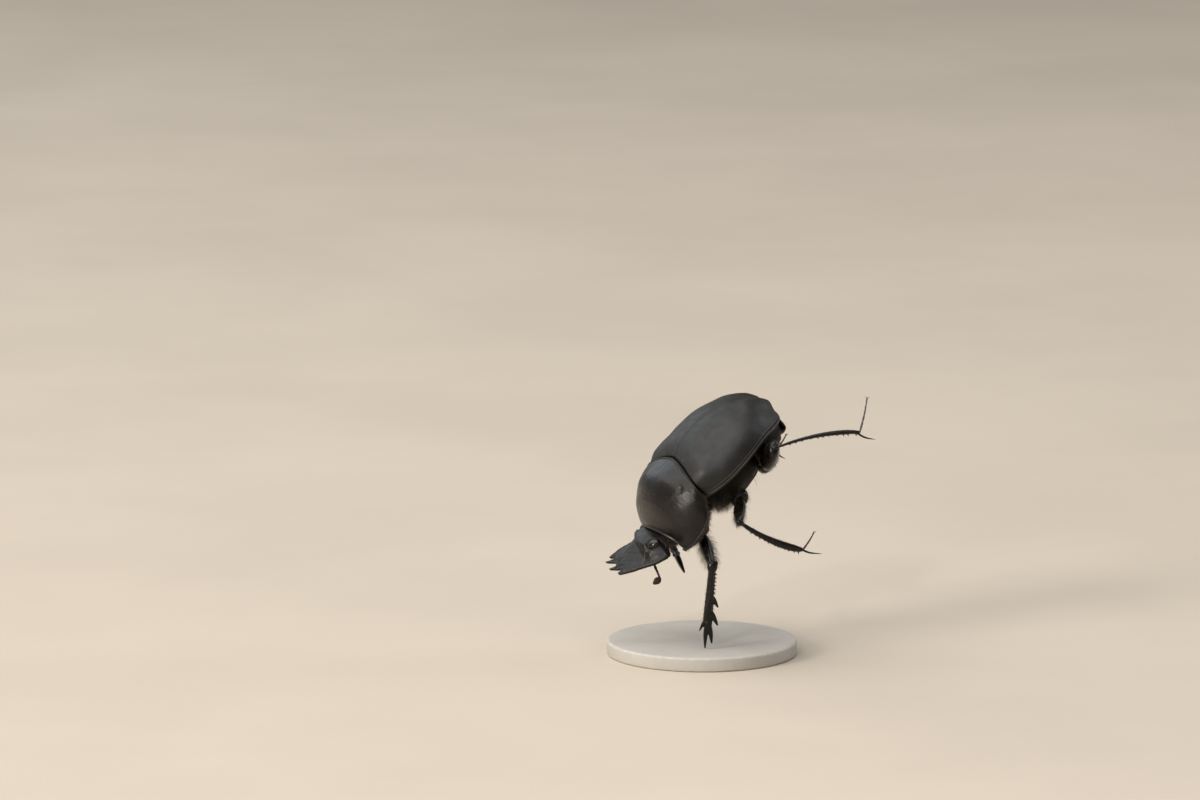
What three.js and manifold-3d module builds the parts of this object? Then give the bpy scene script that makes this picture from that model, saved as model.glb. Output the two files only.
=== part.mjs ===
// A ball-rolling dung beetle at life size, head down on its left foreleg, on a plain round base.
// Millimetres, +Z up. The beetle heads along -Y and its left side is +X.
// The origin is the centre of the base's underside.
import * as THREE from "three";
import { mergeVertices } from "three/addons/utils/BufferGeometryUtils.js";
import Module from "manifold-3d";

const wasm = await Module();
wasm.setup();

// ---------------------------------------------------------------- driving dimensions

const BASE = { radius: 12, height: 1.8, bevel: 0.3, shift: -1.5 };
const GAP = 0.12; // between neighbouring sclerites
const SLIVER = 0.015; // detail smaller than this is dropped where solids are joined or cut
const TRUNK_HEIGHT = 20.35; // of the trunk's reference point over the top of the base
const TRUNK_PITCH = 47.1; // degrees, nose down
const HEAD_PITCH = -5.5; // degrees, of the head against the trunk
const HEAD_ROLL = -4;
const HEAD_YAW = -16;

// The trunk's own frame: y runs rearward from the joint of pronotum and elytra, z is dorsal.
const PRONOTUM = {
  front: -8.1, // y of the front margin, on the midline
  frontCorner: { x: 5.25, y: -7.84, z: -2.8 },
  widest: { x: 8.1, y: -3.73, z: -1.32 },
  hindCorner: { x: 7.37, y: -1.56, z: 0.62 },
  base: 0.4, // y of the hind margin, on the midline
  crown: { front: 0.45, middle: 4.49, base: 4.06 }, // z along the midline
};
const ELYTRA = {
  length: 13.6,
  shoulder: 6.75, // half width at the base
  width: 8.5, // greatest half width
  widestAt: 4,
  crown: 4.7, // greatest height
  crownAt: 3,
  crownBase: 4.0,
  edge: { base: 0.4, widest: 0, rear: -0.65, rearAt: 9.5, apex: -2.9 }, // z of the lateral margin
  thickness: 0.6,
  epipleuron: 0.45, // depth of the strip that turns down along the margin
};
const VENTER = -5.3; // z of the underside of thorax and abdomen
const PYGIDIUM = { y: 12.35, z: -4.05, halfWidth: 3.3, halfHeight: 1.45, halfDepth: 0.55, lean: 22 };

// The head's own frame: y runs rearward to the neck at 0, z is dorsal.
const HEAD = {
  front: -6.9,
  innerTooth: { x: 1.4, y: -6.95 },
  outerTooth: { x: 3.2, y: -6.35 },
  suture: { x: 4.55, y: -3.65 }, // where the gena's suture meets the margin
  gena: { x: 5.5, y: -0.8 },
  crown: 0.1,
  rim: 0.5, // thickness of the margin
  depth: 2.4, // of the skull under the crown
};
const EYE = { x: 3.35, y: -0.52, z: -0.72, radius: 0.72 };

// Legs: joints in the stance frame, whose origin is the trunk's reference point and whose axes are
// the part's. The flat is the direction across the broad face of femur and tibia, but the planted
// leg's femur is turned edge-on to its tibia and has a flat of its own.
const LEGS = {
  fore_left: {
    coxa: [2.2, 0.05, -5.5],
    knee: [8.0, -0.85, -9.4],
    ankle: [6.4, -0.8, -17.6],
    flat: [0.35, 0.94, 0],
    femurFlat: [0.9, -0.4, 0.2],
  },
  fore_right: {
    coxa: [-2.2, 0.05, -5.5],
    knee: [-9.4, -0.1, -6.4],
    ankle: [-2.1, -0.8, -10.3],
    flat: [-0.4, 0.45, -0.8],
  },
  mid_left: {
    coxa: [4.6, 4.5, -1.7],
    knee: [10.36, 1.75, -3.7],
    ankle: [10.9, 10.2, -7.75],
    tarsus: [1.45, 1.1, 2.75],
    spur: [1.5, 2.1, -0.4],
    flat: [0.3, 0.3, 0.9],
    bow: [0, 0, -0.5],
  },
  mid_right: {
    coxa: [-4.6, 4.7, -1.7],
    knee: [-10.0, 2.8, -2.4],
    ankle: [-10.4, 11.4, -3.6],
    tarsus: [-1.5, 1.7, 2.3],
    spur: [1.0, 0.8, -1.2],
    flat: [-0.3, 0.3, 0.9],
    bow: [0, 0, -0.5],
  },
  hind_left: {
    coxa: [3.1, 8.6, 2.0],
    knee: [9.87, 6.75, 5.24],
    ankle: [12.44, 17.28, 6.9],
    tarsus: [-2.9, 2.5, 4.0],
    spur: [0.65, 1.95, -1.0],
    flat: [0.2, 0.1, 0.97],
    bow: [0, 0, 0.55],
  },
  hind_right: {
    coxa: [-3.1, 8.6, 2.0],
    knee: [-9.8, 6.6, 4.2],
    ankle: [-8.0, 15.6, 1.4],
    tarsus: [4.4, -0.6, 2.9],
    spur: [1.6, 0.6, -1.0],
    flat: [-0.2, 0.1, 0.97],
    bow: [0, 0, 0.55],
  },
};
const LEG_SIZE = {
  fore: { coxa: 1.2, femur: 1.25, tibia: 0.78, thick: 0.42 },
  mid: { coxa: 1.25, femur: 1.15, tibia: 0.46, thick: 0.34 },
  hind: { coxa: 1.3, femur: 1.85, tibia: 0.33, thick: 0.3 },
};
const FINGER = 0.27; // half thickness of the thinnest parts: tarsi, spurs and antennal stalks

const BLACK = { color: 0x1d1b1a, roughness: 0.42, metalness: 0 };
const BROWN = { color: 0x3a1e14, roughness: 0.5, metalness: 0 };
const EYE_BLACK = { color: 0x0c0b0b, roughness: 0.12, metalness: 0 };
const BASE_GREY = { color: 0xcfcac0, roughness: 0.7, metalness: 0 };

// ---------------------------------------------------------------- helpers

const rad = THREE.MathUtils.degToRad;
const mix = THREE.MathUtils.lerp;
const smoothstep = THREE.MathUtils.smoothstep;
const bell = (x, centre, spread) => Math.exp(-(((x - centre) / spread) ** 2));
const vec = (p) => (Array.isArray(p) ? new THREE.Vector3(...p) : new THREE.Vector3(p.x, p.y, p.z));

// A smooth curve through a few [position, value] knots, with no overshoot between them.
function through(...knots) {
  const slopes = knots.slice(1).map(([x, y], i) => (y - knots[i][1]) / (x - knots[i][0]));
  const tangents = knots.map((_, i) => {
    const before = slopes[i - 1] ?? slopes[i];
    const after = slopes[i] ?? slopes[i - 1];
    return before * after <= 0 ? 0 : (2 * before * after) / (before + after);
  });
  return (x) => {
    const last = knots.length - 2;
    const i = Math.min(last, Math.max(0, knots.findIndex(([end]) => x < end) - 1));
    const at = x >= knots[last + 1][0] ? last : i;
    const [x0, y0] = knots[at];
    const [x1, y1] = knots[at + 1];
    const h = x1 - x0;
    const t = THREE.MathUtils.clamp((x - x0) / h, 0, 1);
    const rise = (1 - t) ** 2 * (1 + 2 * t) * y0 + t * t * (3 - 2 * t) * y1;
    return rise + h * t * (1 - t) * ((1 - t) * tangents[at] - t * tangents[at + 1]);
  };
}

// Superellipse falling from 1 at the start of a span to 0 at its end.
const fall = (share, power) => (1 - THREE.MathUtils.clamp(share, 0, 1) ** power) ** (1 / power);

// A closed surface on a sphere's grid: place(u, v) puts each point, u around and v from end to end.
// Seen from the start, at v = 0, u turns anticlockwise. All of an end's row is one point.
function closedGrid(around, along, place) {
  const geometry = new THREE.SphereGeometry(1, around, along);
  const { position, uv } = geometry.attributes;
  for (let i = 0; i < position.count; i++) {
    const v = 1 - uv.getY(i);
    const p = place(v === 0 || v === 1 ? 0 : uv.getX(i) % 1, v);
    position.setXYZ(i, p.x, p.y, p.z);
  }
  return merged(geometry);
}

function merged(geometry) {
  geometry.deleteAttribute("normal");
  geometry.deleteAttribute("uv");
  return mergeVertices(geometry, 1e-4);
}

// The same closed surface on the other side of the body, still facing outwards.
function mirrored(geometry) {
  geometry.scale(-1, 1, 1);
  geometry.index.array.reverse();
  return geometry;
}

// A rounded limb along a curve, widths across the flat and depths along its normal.
function limb(curve, flat, width, depth, around = 10, along = 7) {
  return closedGrid(around, along, (u, v) => {
    const t = (1 - Math.cos(Math.PI * v)) / 2;
    const tangent = curve.getTangentAt(t);
    const side = vec(flat).addScaledVector(tangent, -vec(flat).dot(tangent)).normalize();
    const up = new THREE.Vector3().crossVectors(side, tangent);
    const end = Math.sin(Math.PI * v) ** 0.36;
    const angle = 2 * Math.PI * u;
    return curve
      .getPointAt(t)
      .addScaledVector(side, Math.cos(angle) * width(t) * end)
      .addScaledVector(up, Math.sin(angle) * depth(t) * end);
  });
}

const path = (...points) => new THREE.CatmullRomCurve3(points.map(vec));

// A pointed tooth or spur from one point to another, sunk a little into what it grows from.
function spike(from, to, radius, tip = radius * 0.35, sides = 5) {
  const start = vec(from);
  const reach = vec(to).sub(start);
  const cone = new THREE.CylinderGeometry(tip, radius, reach.length(), sides);
  cone.translate(0, reach.length() / 2, 0);
  const turn = new THREE.Quaternion().setFromUnitVectors(THREE.Object3D.DEFAULT_UP, reach.normalize());
  cone.applyQuaternion(turn);
  cone.translate(start.x, start.y, start.z);
  return merged(cone);
}

function solid(geometry) {
  const vertProperties = geometry.attributes.position.array;
  const triVerts = new Uint32Array(geometry.index.array);
  return new wasm.Manifold(new wasm.Mesh({ numProp: 3, vertProperties, triVerts }));
}

// Slivers that a join or a cut leaves along its seam are merged away.
function geometryOf(manifold) {
  const mesh = manifold.simplify(SLIVER).getMesh();
  return new THREE.BufferGeometry()
    .setAttribute("position", new THREE.BufferAttribute(mesh.vertProperties, 3))
    .setIndex(new THREE.BufferAttribute(mesh.triVerts, 1));
}

const join = (...parts) => geometryOf(parts.map(solid).reduce((a, b) => a.add(b)));
const cut = (body, ...tools) => geometryOf(tools.map(solid).reduce((a, b) => a.subtract(b), solid(body)));
const common = (a, b) => geometryOf(solid(a).intersect(solid(b)));
const biggest = (body) => geometryOf(solid(body).decompose().sort((a, b) => b.volume() - a.volume())[0]);

function node(name, geometry, finish) {
  const mesh = new THREE.Mesh(geometry, new THREE.MeshStandardMaterial(finish));
  mesh.name = name;
  return mesh;
}

// ---------------------------------------------------------------- pronotum and elytra

// Dorsal surface of the pronotum: s from front to base, rise from 0 at the margin to 1 on the midline.
const pronotumShape = (() => {
  const { frontCorner, widest, hindCorner, crown } = PRONOTUM;
  const atWidest = (widest.y - frontCorner.y) / (hindCorner.y - frontCorner.y);
  const bulge = mix(frontCorner.x, widest.x, 0.72);
  return {
    half: through([0, frontCorner.x], [0.25, bulge], [atWidest, widest.x], [1, hindCorner.x]),
    edge: through([0, frontCorner.z], [atWidest, widest.z], [1, hindCorner.z]),
    top: through(
      [0, crown.front],
      [0.3, mix(crown.front, crown.middle, 0.68)],
      [0.65, crown.middle],
      [1, crown.base],
    ),
    edgeY: (s) => mix(frontCorner.y, hindCorner.y, s),
    middleY: (s) => mix(PRONOTUM.front, PRONOTUM.base, s),
    arch: through([0, 0.95], [0.5, 0.92], [1, 0.52]), // lower is boxier: the hind part has shoulders
  };
})();

function pronotumPoint(s, side, rise) {
  const shape = pronotumShape;
  const across = Math.abs(side) ** 1.5;
  return new THREE.Vector3(
    shape.half(s) * side,
    mix(shape.middleY(s), shape.edgeY(s), across),
    mix(shape.edge(s), shape.top(s), rise),
  );
}

function pronotum() {
  const rows = 11;
  const lip = 0.25; // thickness of the plate at its margin
  const hollow = 2.6; // how far the head's socket runs into it
  return closedGrid(24, rows + 1, (u, v) => {
    const s = (v * (rows + 1) - 1) / (rows - 1);
    if (s < -1e-6) return new THREE.Vector3(0, PRONOTUM.front + hollow, -1.2);
    if (s > 1 + 1e-6) return new THREE.Vector3(0, PRONOTUM.base - 0.8, 2);
    const angle = 2 * Math.PI * u;
    const lift = Math.sin(angle);
    const p = pronotumPoint(s, Math.cos(angle), Math.max(lift, 0) ** pronotumShape.arch(s));
    if (lift < 0) p.z -= lip * Math.min(1, -3 * lift);
    return p;
  });
}

// Dorsal surface of the elytra: y rearward, side from 0 at the suture to 1 at the lateral margin.
const elytraShape = (() => {
  const { length, shoulder, width, widestAt, crown, crownAt, crownBase, edge } = ELYTRA;
  const swell = (y, at, low, high) => high - (high - low) * (1 - Math.min(y / at, 1)) ** 2;
  const rearShare = (y, from) => (y - from) / (length - from);
  return {
    half: (y) => swell(y, widestAt, shoulder, width) * fall(rearShare(y, widestAt), 2.2),
    top: (y) => mix(edge.apex, swell(y, crownAt, crownBase, crown), fall(rearShare(y, crownAt), 2.18)),
    edge: through([0, edge.base], [widestAt, edge.widest], [edge.rearAt, edge.rear], [length, edge.apex]),
    arch: through([0, 0.42], [1.5, 0.55], [4, 0.87], [8.5, 0.64], [length, 0.5]), // lower is boxier
    // The swelling near the tip of each elytron, upwards and rearwards.
    callus: (y, side) => 0.7 * (1 - smoothstep(y, length - 0.9, length)) * bell(y, 12.2, 1.6) *
      bell(Math.abs(side), 0.5, 0.3),
    bulge: (y, side, rise) => 0.65 * (1 - smoothstep(y, length - 0.4, length)) * bell(y, 13.2, 0.8) *
      bell(Math.abs(side), 0.6, 0.35) * smoothstep(rise, 0.2, 0.7),
  };
})();

// The hind margin of the pronotum bends forward at the sides, and the elytra's base follows it.
const baseLine = (side) => mix(PRONOTUM.base, PRONOTUM.hindCorner.y, Math.abs(side) ** 1.5) + GAP;

const elytronStation = (row) => ELYTRA.length * (1 - (1 - row) ** 1.8);

function elytronPoint(row, side, rise, inset = 0) {
  const y = elytronStation(row);
  const edge = elytraShape.edge(y);
  const top = Math.max(elytraShape.top(y), edge) - inset;
  const half = Math.max(elytraShape.half(y) - inset, 0);
  const z = mix(Math.min(edge, top), top, rise) + elytraShape.callus(y, side);
  const back = elytraShape.bulge(y, side, rise);
  return new THREE.Vector3(half * side, y + back + baseLine(side) * (1 - row), z);
}

// The left elytron: a plate whose ring runs along the outer arc, down the epipleuron and back inside.
function elytron() {
  const rows = 13;
  const outer = 11;
  const inner = 8;
  const around = outer + inner + 2;
  const suture = 0.06;
  return closedGrid(around, rows + 1, (u, v) => {
    const row = (v * (rows + 1) - 1) / (rows - 1);
    const { length, thickness, epipleuron, edge } = ELYTRA;
    if (row > 1 - 1e-6) return new THREE.Vector3(suture + 0.3, length - 0.05, edge.apex - 0.1);
    if (row < -1e-6) {
      const root = elytronPoint(0, 0.6, 0.72, thickness / 2);
      return root.setY(baseLine(0.6) + 0.02);
    }
    const k = Math.round(u * around) % around;
    const shrink = Math.min(1, 3.2 * (1 - row)); // the plate thins towards its apex
    let p;
    const arch = elytraShape.arch(elytronStation(row));
    if (k <= outer) {
      const angle = (Math.PI / 2) * (k / outer);
      p = elytronPoint(row, Math.cos(angle), Math.sin(angle) ** arch);
    } else {
      const angle = (Math.PI / 2) * (1 - (k - outer - 1) / inner);
      p = elytronPoint(row, Math.cos(angle), Math.sin(angle) ** arch, thickness * shrink);
    }
    const low = k === 0 || k === around - 1;
    if (low) p.z -= epipleuron * shrink * (k === 0 ? 1 : 0.8);
    if (k === 0) p.x -= 0.12 * shrink;
    p.x = Math.max(p.x, suture);
    return p;
  });
}

// ---------------------------------------------------------------- underside of the trunk

// The body under the elytra, a rounded box in section, from one y to another. A smaller round makes
// a squarer end.
function trunkBody(from, to, bottom, [frontRound, rearRound]) {
  const clear = ELYTRA.thickness + 0.42;
  return closedGrid(20, 8, (u, v) => {
    const t = (1 - Math.cos(Math.PI * v)) / 2;
    const y = mix(from, to, t);
    const end = Math.sin(Math.PI * v) ** (v < 0.5 ? frontRound : rearRound);
    const sample = THREE.MathUtils.clamp(y, 0, ELYTRA.length);
    const half = Math.max(elytraShape.half(sample) - clear, 0.2) * end;
    const top = elytraShape.top(sample) - clear;
    const edge = elytraShape.edge(sample) - ELYTRA.epipleuron - 0.15;
    const angle = 2 * Math.PI * u;
    const lift = Math.sin(angle);
    const reach = lift > 0 ? Math.max(top - edge, 0.2) * lift : (edge - bottom(y)) * -((-lift) ** 0.7);
    const x = half * Math.cos(angle) * (lift < 0 ? mix(1, 0.88, -lift) : 1);
    return new THREE.Vector3(x, y, edge + reach * end);
  });
}

// The neck of the hind body, which reaches forward into the prothorax, or a copy grown on every side.
function peduncle(extra = 0) {
  const spine = path([0, -2.3 - extra, -2.5], [0, -0.6, -2.5]);
  return limb(spine, [1, 0, 0], () => 3.4 + extra, () => 1.5 + extra, 12, 4);
}

function prothoraxUnderside() {
  const from = -7.0;
  const to = -1.55;
  return closedGrid(16, 7, (u, v) => {
    const t = (1 - Math.cos(Math.PI * v)) / 2;
    const end = Math.sin(Math.PI * v) ** (v < 0.5 ? 0.45 : 0.12);
    const shape = pronotumShape;
    const s = mix(0.13, 1, t);
    const angle = 2 * Math.PI * u;
    const lift = Math.sin(angle);
    const top = shape.edge(s) + 0.3; // it is cut to the pronotum's underside afterwards
    const bottom = mix(-4.3, VENTER + 0.5, t);
    const x = (shape.half(s) - 1.1) * Math.cos(angle) * end * (lift < 0 ? mix(1, 0.62, (-lift) ** 0.5) : 1);
    const z = lift > 0 ? top + 0.1 * lift : mix(top, bottom, (-lift) ** 0.75 * end);
    return new THREE.Vector3(x, mix(from, to, t), z);
  });
}

function pygidium() {
  const { halfWidth, halfHeight, halfDepth, lean } = PYGIDIUM;
  const plate = closedGrid(14, 7, (u, v) => {
    const angle = 2 * Math.PI * u;
    const reach = Math.sin(Math.PI * v);
    const z = halfHeight * Math.sin(angle) * reach;
    const narrow = 1 - 0.35 * Math.max(0, -z / halfHeight);
    const x = halfWidth * Math.cos(angle) * reach * narrow;
    return new THREE.Vector3(x, -halfDepth * Math.cos(Math.PI * v), z);
  });
  plate.rotateX(rad(-lean));
  return plate.translate(0, PYGIDIUM.y, PYGIDIUM.z);
}

// ---------------------------------------------------------------- head

// Height of the head's dorsal surface.
const headMiddle = through(
  [-7.1, -0.05],
  [-6.6, -0.45],
  [-6.1, -0.72],
  [-5.4, -0.5],
  [-4.6, -0.3],
  [-3.4, -0.12],
  [-2.4, -0.02],
  [-1.6, HEAD.crown],
  [-0.6, HEAD.crown],
  [0.2, -0.35],
  [1.6, -1.3],
);
const headEdge = through(
  [-7.1, -0.3],
  [-6.2, -0.82],
  [-4.6, -1.25],
  [-3.4, -1.65],
  [-1.6, -2.15],
  [-0.3, -2.37],
  [1.6, -2.8],
);
const headHalf = through(
  [-7.1, 3.3],
  [-6.4, 3.4],
  [-5.35, 3.95],
  [-3.7, 4.55],
  [-2.4, 5.05],
  [-0.9, 5.5],
  [-0.2, 5.3],
  [0.3, 4.4],
  [1.6, 3.0],
);

// The clypeus slopes evenly to its margin, the vault behind it falls away at the sides.
const headFall = (y) => mix(1.35, 2.4, smoothstep(y, -2.7, -1.7));
const headTop = (x, y) => {
  const across = Math.min(1.2, Math.abs(x) / headHalf(y));
  return mix(headMiddle(y), headEdge(y), across ** headFall(y));
};

// The toothed outline of the shield in plan, from the neck round the left side to the front.
function headOutline() {
  const { innerTooth, outerTooth, suture, gena, front } = HEAD;
  const half = [
    [2.8, 1.7],
    [3.3, 0.9],
    [4.2, 0.3],
    [gena.x - 0.1, gena.y + 0.5],
    [gena.x, gena.y],
    [gena.x - 0.15, gena.y - 0.8],
    [gena.x - 0.45, gena.y - 1.6],
    [suture.x, suture.y],
    [suture.x - 0.25, suture.y - 0.95],
    [outerTooth.x + 0.75, outerTooth.y + 1],
    [outerTooth.x + 0.2, outerTooth.y + 0.2],
    [outerTooth.x - 0.1, outerTooth.y],
    [outerTooth.x - 0.45, outerTooth.y + 0.4],
    [(innerTooth.x + outerTooth.x) / 2, front + 1.1],
    [innerTooth.x + 0.3, innerTooth.y + 0.3],
    [innerTooth.x, innerTooth.y],
    [innerTooth.x - 0.35, innerTooth.y + 0.3],
    [0, front + 0.85],
  ];
  const other = half.slice(0, -1).map(([x, y]) => [-x, y]);
  return new THREE.Shape([...half, ...other.reverse()].map(([x, y]) => new THREE.Vector2(x, y)));
}

// The shield with the skull under it, or a copy grown on every side, to cut the head's socket with.
function skull(extra = 0) {
  const { front, rim, depth } = HEAD;
  const blank = closedGrid(22, 12, (u, v) => {
    const y = mix(front - 0.4, 1.6 + extra, (1 - Math.cos(Math.PI * v)) / 2);
    const angle = 2 * Math.PI * u;
    const end = Math.sin(Math.PI * v) ** 0.3;
    const x = 6.4 * Math.cos(angle) * end;
    const lift = Math.sin(angle);
    const wide = mix(4.2, 3, smoothstep(y, -4.5, -2.5)); // the skull narrows towards the neck
    const across = Math.min(1, Math.abs(x) / wide);
    const under = mix(0, depth, smoothstep(y, front + 0.8, -2.5)) * (1 - across ** 2);
    const z = lift >= 0 ? headTop(x, y) : headTop(x, y) - (rim + under) * Math.min(1, -4 * lift);
    return new THREE.Vector3(x, y, z + (lift >= 0 ? extra : -extra));
  });
  const plan = new THREE.ExtrudeGeometry(headOutline(), { depth: 8, bevelEnabled: false });
  plan.translate(0, 0, -6);
  plan.scale(1 + extra / HEAD.gena.x, 1, 1);
  return common(blank, merged(plan));
}

const eyes = (extra) => [eyeball(extra), mirrored(eyeball(extra))];

function eyeball(extra = 0) {
  const ball = merged(new THREE.SphereGeometry(EYE.radius + extra, 10, 7));
  ball.scale(1, 1.15, 0.8);
  return ball.translate(EYE.x, EYE.y, EYE.z);
}

// The left antenna hangs from under the head and ends in a club of flat leaves.
function antenna() {
  const root = [2.75, -2.0, -2.2];
  const elbow = [4.0, -2.55, -3.6];
  const clubBase = [4.3, -2.85, -4.38];
  const stalk = limb(path(root, elbow, clubBase), [1, 0, 0], () => FINGER, () => FINGER, 6, 4);
  const leaves = [-0.22, 0.22].map((offset) => {
    const from = [4.3 + offset, -2.72, -4.3];
    const to = [4.2 + offset, -4.0, -4.4 + Math.abs(offset)];
    return limb(path(from, to), [0, 0.3, 1], () => 0.38, () => FINGER, 7, 4);
  });
  return join(stalk, ...leaves);
}

// Chin and the two palps under the mouth.
function mouthparts() {
  const chinPath = path([0, -5.3, -2.1], [0, -3.9, -2.85], [0, -2.6, -3.4]);
  const chin = limb(chinPath, [1, 0, 0], () => 1.5, () => 0.4, 10, 5);
  const palps = [1, -1].map((side) =>
    limb(path([side * 1.2, -4.0, -2.5], [side * 1.7, -4.6, -2.35], [side * 1.8, -5.3, -1.95]), [1, 0, 0],
      () => FINGER, () => FINGER, 5, 4),
  );
  return join(chin, ...palps);
}

// ---------------------------------------------------------------- legs

const along = (from, to, t) => vec(from).lerp(vec(to), t);

// A short cone that carries the leg, from inside the thorax to the femur's start.
function coxa(leg, size, extra = 0) {
  const start = along(leg.coxa, leg.knee, -0.1);
  const end = along(leg.coxa, leg.knee, 0.16);
  const radius = size.coxa + extra;
  return limb(path(start, end), leg.flat, () => radius, () => radius * 0.85, 10, 5);
}

function femur(leg, size, extra = 0) {
  const reach = along(leg.coxa, leg.knee, 1).sub(vec(leg.coxa)).normalize();
  const start = along(leg.coxa, leg.knee, 0.16).addScaledVector(reach, GAP);
  const swell = through([0, 0.72], [0.35, 1], [0.75, 0.85], [1, 0.72]);
  const width = (t) => size.femur * swell(t) + extra;
  const depth = (t) => 0.62 * size.femur * swell(t) + extra;
  return limb(path(start, leg.knee), leg.femurFlat ?? leg.flat, width, depth, 10, 8);
}

// The tibia starts just past the knee and bows between knee and ankle.
function tibiaPath(leg) {
  const start = along(leg.knee, leg.ankle, 0.02);
  const bow = vec(leg.bow ?? [0, 0, 0]);
  const bowed = (t) => along(start, leg.ankle, t).addScaledVector(bow, 4 * t * (1 - t));
  const points = [0, 0.33, 0.67, 1].map(bowed);
  return path(...points);
}

function slenderTibia(leg, size) {
  const grow = through([0, 0.8], [0.3, 0.82], [0.85, 1.12], [1, 1.05]);
  const width = (t) => size.tibia * grow(t);
  const shaft = limb(tibiaPath(leg), leg.flat, width, (t) => size.thick * grow(t), 8, 8);
  const inner = along(leg.ankle, leg.knee, 0.05);
  const spur = spike(inner, vec(leg.ankle).add(vec(leg.spur)), 0.34, FINGER * 0.95);
  const outward = vec(leg.flat).multiplyScalar(-1);
  const spines = [0.4, 0.7].map((t) => {
    const root = tibiaPath(leg).getPointAt(t);
    const reach = along(leg.knee, leg.ankle, 1).sub(vec(leg.knee)).normalize().multiplyScalar(0.7);
    const tip = root.clone().add(reach).addScaledVector(outward, size.tibia * 1.6);
    return spike(root, tip, 0.36, FINGER * 0.9);
  });
  return join(shaft, spur, ...spines);
}

// The digging tibia of a foreleg: a flat blade with four teeth along its outer edge and a spur inside.
function diggingTibia(leg, size) {
  const grow = through([0, 0.8], [0.2, 0.68], [0.6, 0.72], [1, 1]);
  const width = (t) => size.tibia * grow(t);
  const blade = limb(tibiaPath(leg), leg.flat, width, (t) => size.thick * mix(1.1, 0.9, t), 8, 8);
  const down = vec(leg.ankle).sub(vec(leg.knee)).normalize();
  const out = vec(leg.flat).addScaledVector(down, -vec(leg.flat).dot(down)).normalize();
  const tooth = (t, outward, forward, radius) => {
    const root = along(leg.knee, leg.ankle, t);
    return spike(root, root.clone().addScaledVector(out, outward).addScaledVector(down, forward), radius);
  };
  return join(
    blade,
    tooth(0.5, 1.15, 1.35, 0.5),
    tooth(0.74, 1.3, 1.75, 0.55),
    tooth(0.93, 0.75, 2.6, 0.5),
    tooth(0.93, -0.05, 3.3, 0.45),
    tooth(0.86, -0.95, 1.6, 0.4),
  );
}

// Five tarsomeres, each a bead that widens towards its end.
function tarsus(leg) {
  const start = vec(leg.ankle).addScaledVector(vec(leg.tarsus).normalize(), 0.5);
  const end = vec(leg.ankle).add(vec(leg.tarsus));
  const bead = (t) => FINGER * mix(0.95, 1.3, (t * 5) % 1);
  return limb(path(start, end), leg.flat, bead, bead, 6, 10);
}

// ---------------------------------------------------------------- assembly

const beetle = new THREE.Group();
const stance = new THREE.Group();
stance.position.set(0, BASE.shift, BASE.height + TRUNK_HEIGHT);
beetle.add(stance);

const trunk = new THREE.Group();
trunk.rotation.x = rad(TRUNK_PITCH);
stance.add(trunk);
trunk.updateMatrix();

const neck = new THREE.Group();
neck.position.set(0, PRONOTUM.front, PRONOTUM.crown.front);
neck.rotation.set(rad(HEAD_PITCH), rad(HEAD_ROLL), rad(HEAD_YAW));
trunk.add(neck);
neck.updateMatrix();

neck.add(node("head", cut(skull(), ...eyes(GAP)), BLACK));
neck.add(node("eye_left", eyeball(), EYE_BLACK));
neck.add(node("eye_right", mirrored(eyeball()), EYE_BLACK));
neck.add(node("antenna_left", antenna(), BROWN));
neck.add(node("antenna_right", mirrored(antenna()), BROWN));
neck.add(node("mouthparts", mouthparts(), BROWN));

const neckSocket = [skull(GAP), ...eyes(GAP)].map((tool) => tool.applyMatrix4(neck.matrix));
trunk.add(node("pronotum", cut(pronotum(), ...neckSocket), BLACK));
trunk.add(node("elytron_left", elytron(), BLACK));
trunk.add(node("elytron_right", mirrored(elytron()), BLACK));

// Sockets for the coxae, and the grooves that the femora lie in, are cut in the trunk's own frame.
const toTrunk = trunk.matrix.clone().invert();
const sockets = Object.entries(LEGS).flatMap(([name, leg]) => {
  const size = LEG_SIZE[name.split("_")[0]];
  return [coxa(leg, size, GAP), femur(leg, size, GAP)].map((tool) => tool.applyMatrix4(toTrunk));
});

const thoraxBottom = through([-1.4, -3.6], [0.3, VENTER - 0.1], [6.3, VENTER]);
const abdomenBottom = through([6.4, VENTER], [10.6, VENTER - 0.1], [12.2, VENTER + 0.5]);
const roof = pronotum().translate(0, GAP, -GAP);
const thorax = cut(join(trunkBody(-1.35, 6.3, thoraxBottom, [0.12, 0.08]), peduncle()), roof);
const prothorax = biggest(cut(prothoraxUnderside(), pronotum().translate(0, 0, -GAP), peduncle(GAP)));
const abdomenBody = trunkBody(6.3 + GAP, 12.5, abdomenBottom, [0.08, 0.25]);
const abdomen = cut(abdomenBody, pygidium().translate(0, -GAP, 0));
trunk.add(node("prothorax_underside", cut(prothorax, ...neckSocket, ...sockets), BLACK));
trunk.add(node("thorax_underside", cut(thorax, ...sockets), BLACK));
trunk.add(node("abdomen", cut(abdomen, ...sockets), BLACK));
trunk.add(node("pygidium", pygidium(), BLACK));

for (const [name, leg] of Object.entries(LEGS)) {
  const [pair, side] = name.split("_");
  const size = LEG_SIZE[pair];
  stance.add(node(`coxa_${pair}_${side}`, coxa(leg, size), BLACK));
  stance.add(node(`femur_${pair}_${side}`, femur(leg, size), BLACK));
  const tibia = pair === "fore" ? diggingTibia : slenderTibia;
  const shin = cut(tibia(leg, size), femur(leg, size, GAP));
  stance.add(node(`tibia_${pair}_${side}`, shin, BLACK));
  if (leg.tarsus) stance.add(node(`tarsus_${pair}_${side}`, tarsus(leg), BROWN));
}

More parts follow.
